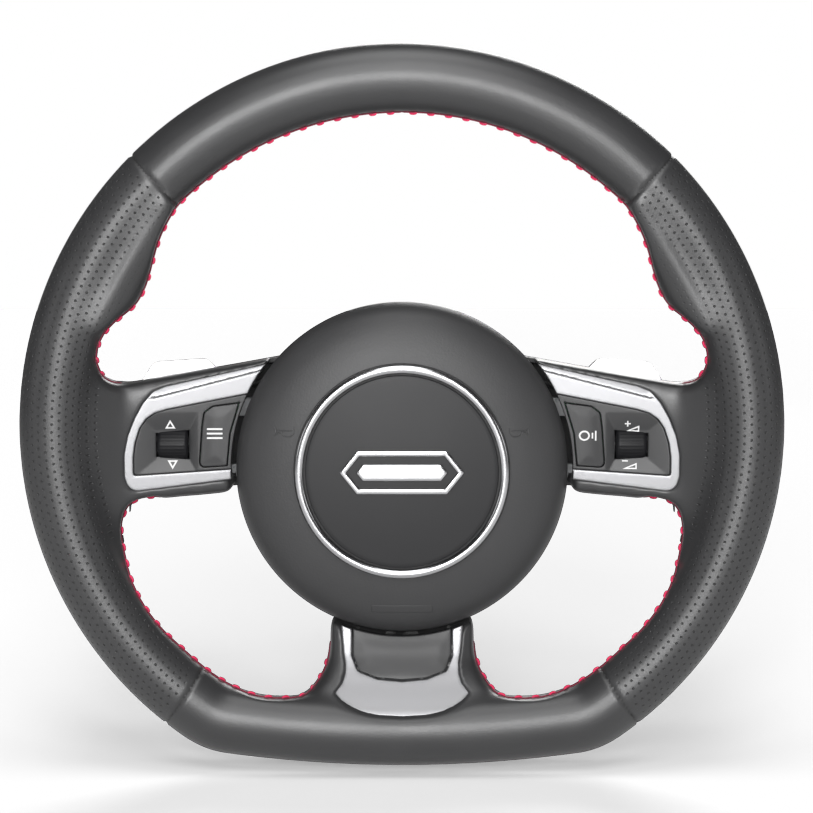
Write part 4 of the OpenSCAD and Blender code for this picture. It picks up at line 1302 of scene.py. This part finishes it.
# the folded airbag cushion in its can

cushionShape = {"pitch": 9.5, "fold": 2.2, "sway": 1.6, "round": 7.0, "shy": 0.4}


def buildCushion():
    look = cushionShape
    low, high = (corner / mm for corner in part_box("airbag_cushion"))
    size = (high.x - low.x) / 2 - look["shy"]
    middle, half = (low.y + high.y) / 2, (high.y - low.y) / 2 - look["shy"]
    corner = min(look["round"], half)
    profile = [(r, middle - half) for r in np.linspace(0.5, size - corner, 34)]
    profile += [(size - corner + corner * math.sin(a), middle - half + corner * (1 - math.cos(a)))
                for a in np.linspace(0.15, math.pi / 2, 10)]
    profile += [(size, middle + half - corner)] if half > corner else []
    profile += [(size - corner + corner * math.cos(a), middle + half - corner * (1 - math.sin(a)))
                for a in np.linspace(0.15, math.pi / 2, 10)]
    profile += [(r, middle + half) for r in np.linspace(size - corner, 0.5, 20)[1:]]
    points, faces = turnMesh(profile, hub, 200)
    points = np.array(points)
    x, z = points[:, 0] - hub[0], points[:, 2] - hub[1]
    across = (x + look["sway"] * np.sin(z / 13) + 0.5 * np.sin(z / 5 + x / 9)) / look["pitch"]
    crease = np.exp(-((across - np.round(across)) * look["pitch"] / 1.4) ** 2)
    depth = look["fold"] * crease + 0.5 * (1 + np.sin(x / 6 + 2) * np.sin(z / 8))
    face = (points[:, 1] - middle) / half
    points[:, 1] -= depth * face
    shrink = 1 - 0.7 * depth * (1 - face ** 2) / size
    points[:, 0], points[:, 2] = hub[0] + x * shrink, hub[1] + z * shrink
    start = len(points) - 200
    faces += [tuple(range(200))[::-1], tuple(start + k for k in range(200))]
    piece = addPiece("airbagCushion", points, faces, "airbag_module", "cushion_fabric",
                     "cushion_fabric", ("airbag_cushion",), sharp=70)


buildCushion()
print("cushion made")


# studio

studio = {
    "target": (0.0022, rimCentre * mm, 0.0111),
    "distance": 0.924,
    "elevation": 5.0,
    "lens": 85.0,
}


def aim(item, at):
    item.rotation_mode = "QUATERNION"
    item.rotation_quaternion = (Vector(at) - item.location).to_track_quat("-Z", "Y")


def buildCamera():
    camera = bpy.data.objects.new("camera", bpy.data.cameras.new("camera"))
    camera.data.lens = studio["lens"]
    camera.data.sensor_width = 36.0
    tilt = math.radians(studio["elevation"])
    camera.location = Vector(studio["target"]) + studio["distance"] * Vector((0, -math.cos(tilt), math.sin(tilt)))
    aim(camera, studio["target"])
    bpy.context.scene.collection.objects.link(camera)
    bpy.context.scene.camera = camera


def addSoftLight(name, at, towards, size, power):
    light = bpy.data.objects.new(name, bpy.data.lights.new(name, "AREA"))
    light.data.shape = "DISK"
    light.data.size = size
    light.data.energy = power
    light.location = at
    aim(light, towards)
    bpy.context.scene.collection.objects.link(light)


def buildFloor():
    level = cadBox[0].z - 0.004
    mesh = bpy.data.meshes.new("floor")
    reach, count = 6.0, 24
    line = np.linspace(-reach, reach, count)
    mesh.from_pydata([(x, y, level) for y in line for x in line], [],
                     [(j * count + i, j * count + i + 1, (j + 1) * count + i + 1, (j + 1) * count + i)
                      for j in range(count - 1) for i in range(count - 1)])
    floor = bpy.data.objects.new("floor", mesh)
    graph = newFinish("paleFloor", {"Roughness": 0.9})
    graph.feed(graph.shader.inputs["Base Color"],
               graph.mix(graph.noise(400), (0.90, 0.90, 0.90, 1), (0.92, 0.92, 0.92, 1)))
    mesh.materials.append(graph.material)
    floor.is_shadow_catcher = True
    bpy.context.scene.collection.objects.link(floor)


def buildWorld():
    world = bpy.data.worlds.new("studio")
    bpy.context.scene.world = world
    world.use_nodes = True
    world.node_tree.nodes.clear()
    graph = Graph(world.node_tree)
    seen = graph.node("ShaderNodeLightPath", {}, {}, "Is Camera Ray")
    room = graph.node("ShaderNodeBackground", {}, {"Color": (1, 1, 1, 1), "Strength": 0.035})
    white = graph.node("ShaderNodeBackground", {}, {"Color": (1, 1, 1, 1), "Strength": 1.0})
    both = graph.node("ShaderNodeMixShader", {}, {0: seen, 1: room, 2: white})
    end = world.node_tree.nodes.new("ShaderNodeOutputWorld")
    world.node_tree.links.new(both.socket, end.inputs["Surface"])


bpy.context.scene.view_settings.view_transform = "Standard"
buildCamera()
addSoftLight("frontBox", (-0.1, -1.8, 0.32), studio["target"], 0.8, 30)
addSoftLight("upperBox", (0.0, -1.35, 1.15), (0, -0.05, 0), 0.8, 10)
addSoftLight("topBox", (0.0, -0.45, 1.5), (0, -0.05, 0), 0.9, 9)
addSoftLight("leftFill", (-1.6, -0.9, 0.3), (0, -0.05, 0), 0.7, 2)
addSoftLight("rightFill", (1.6, -0.9, 0.3), (0, -0.05, 0), 0.7, 2)
addSoftLight("backBox", (0.3, 1.6, 0.9), (0, 0, 0), 1.0, 18)
buildFloor()
buildWorld()
print("studio made")
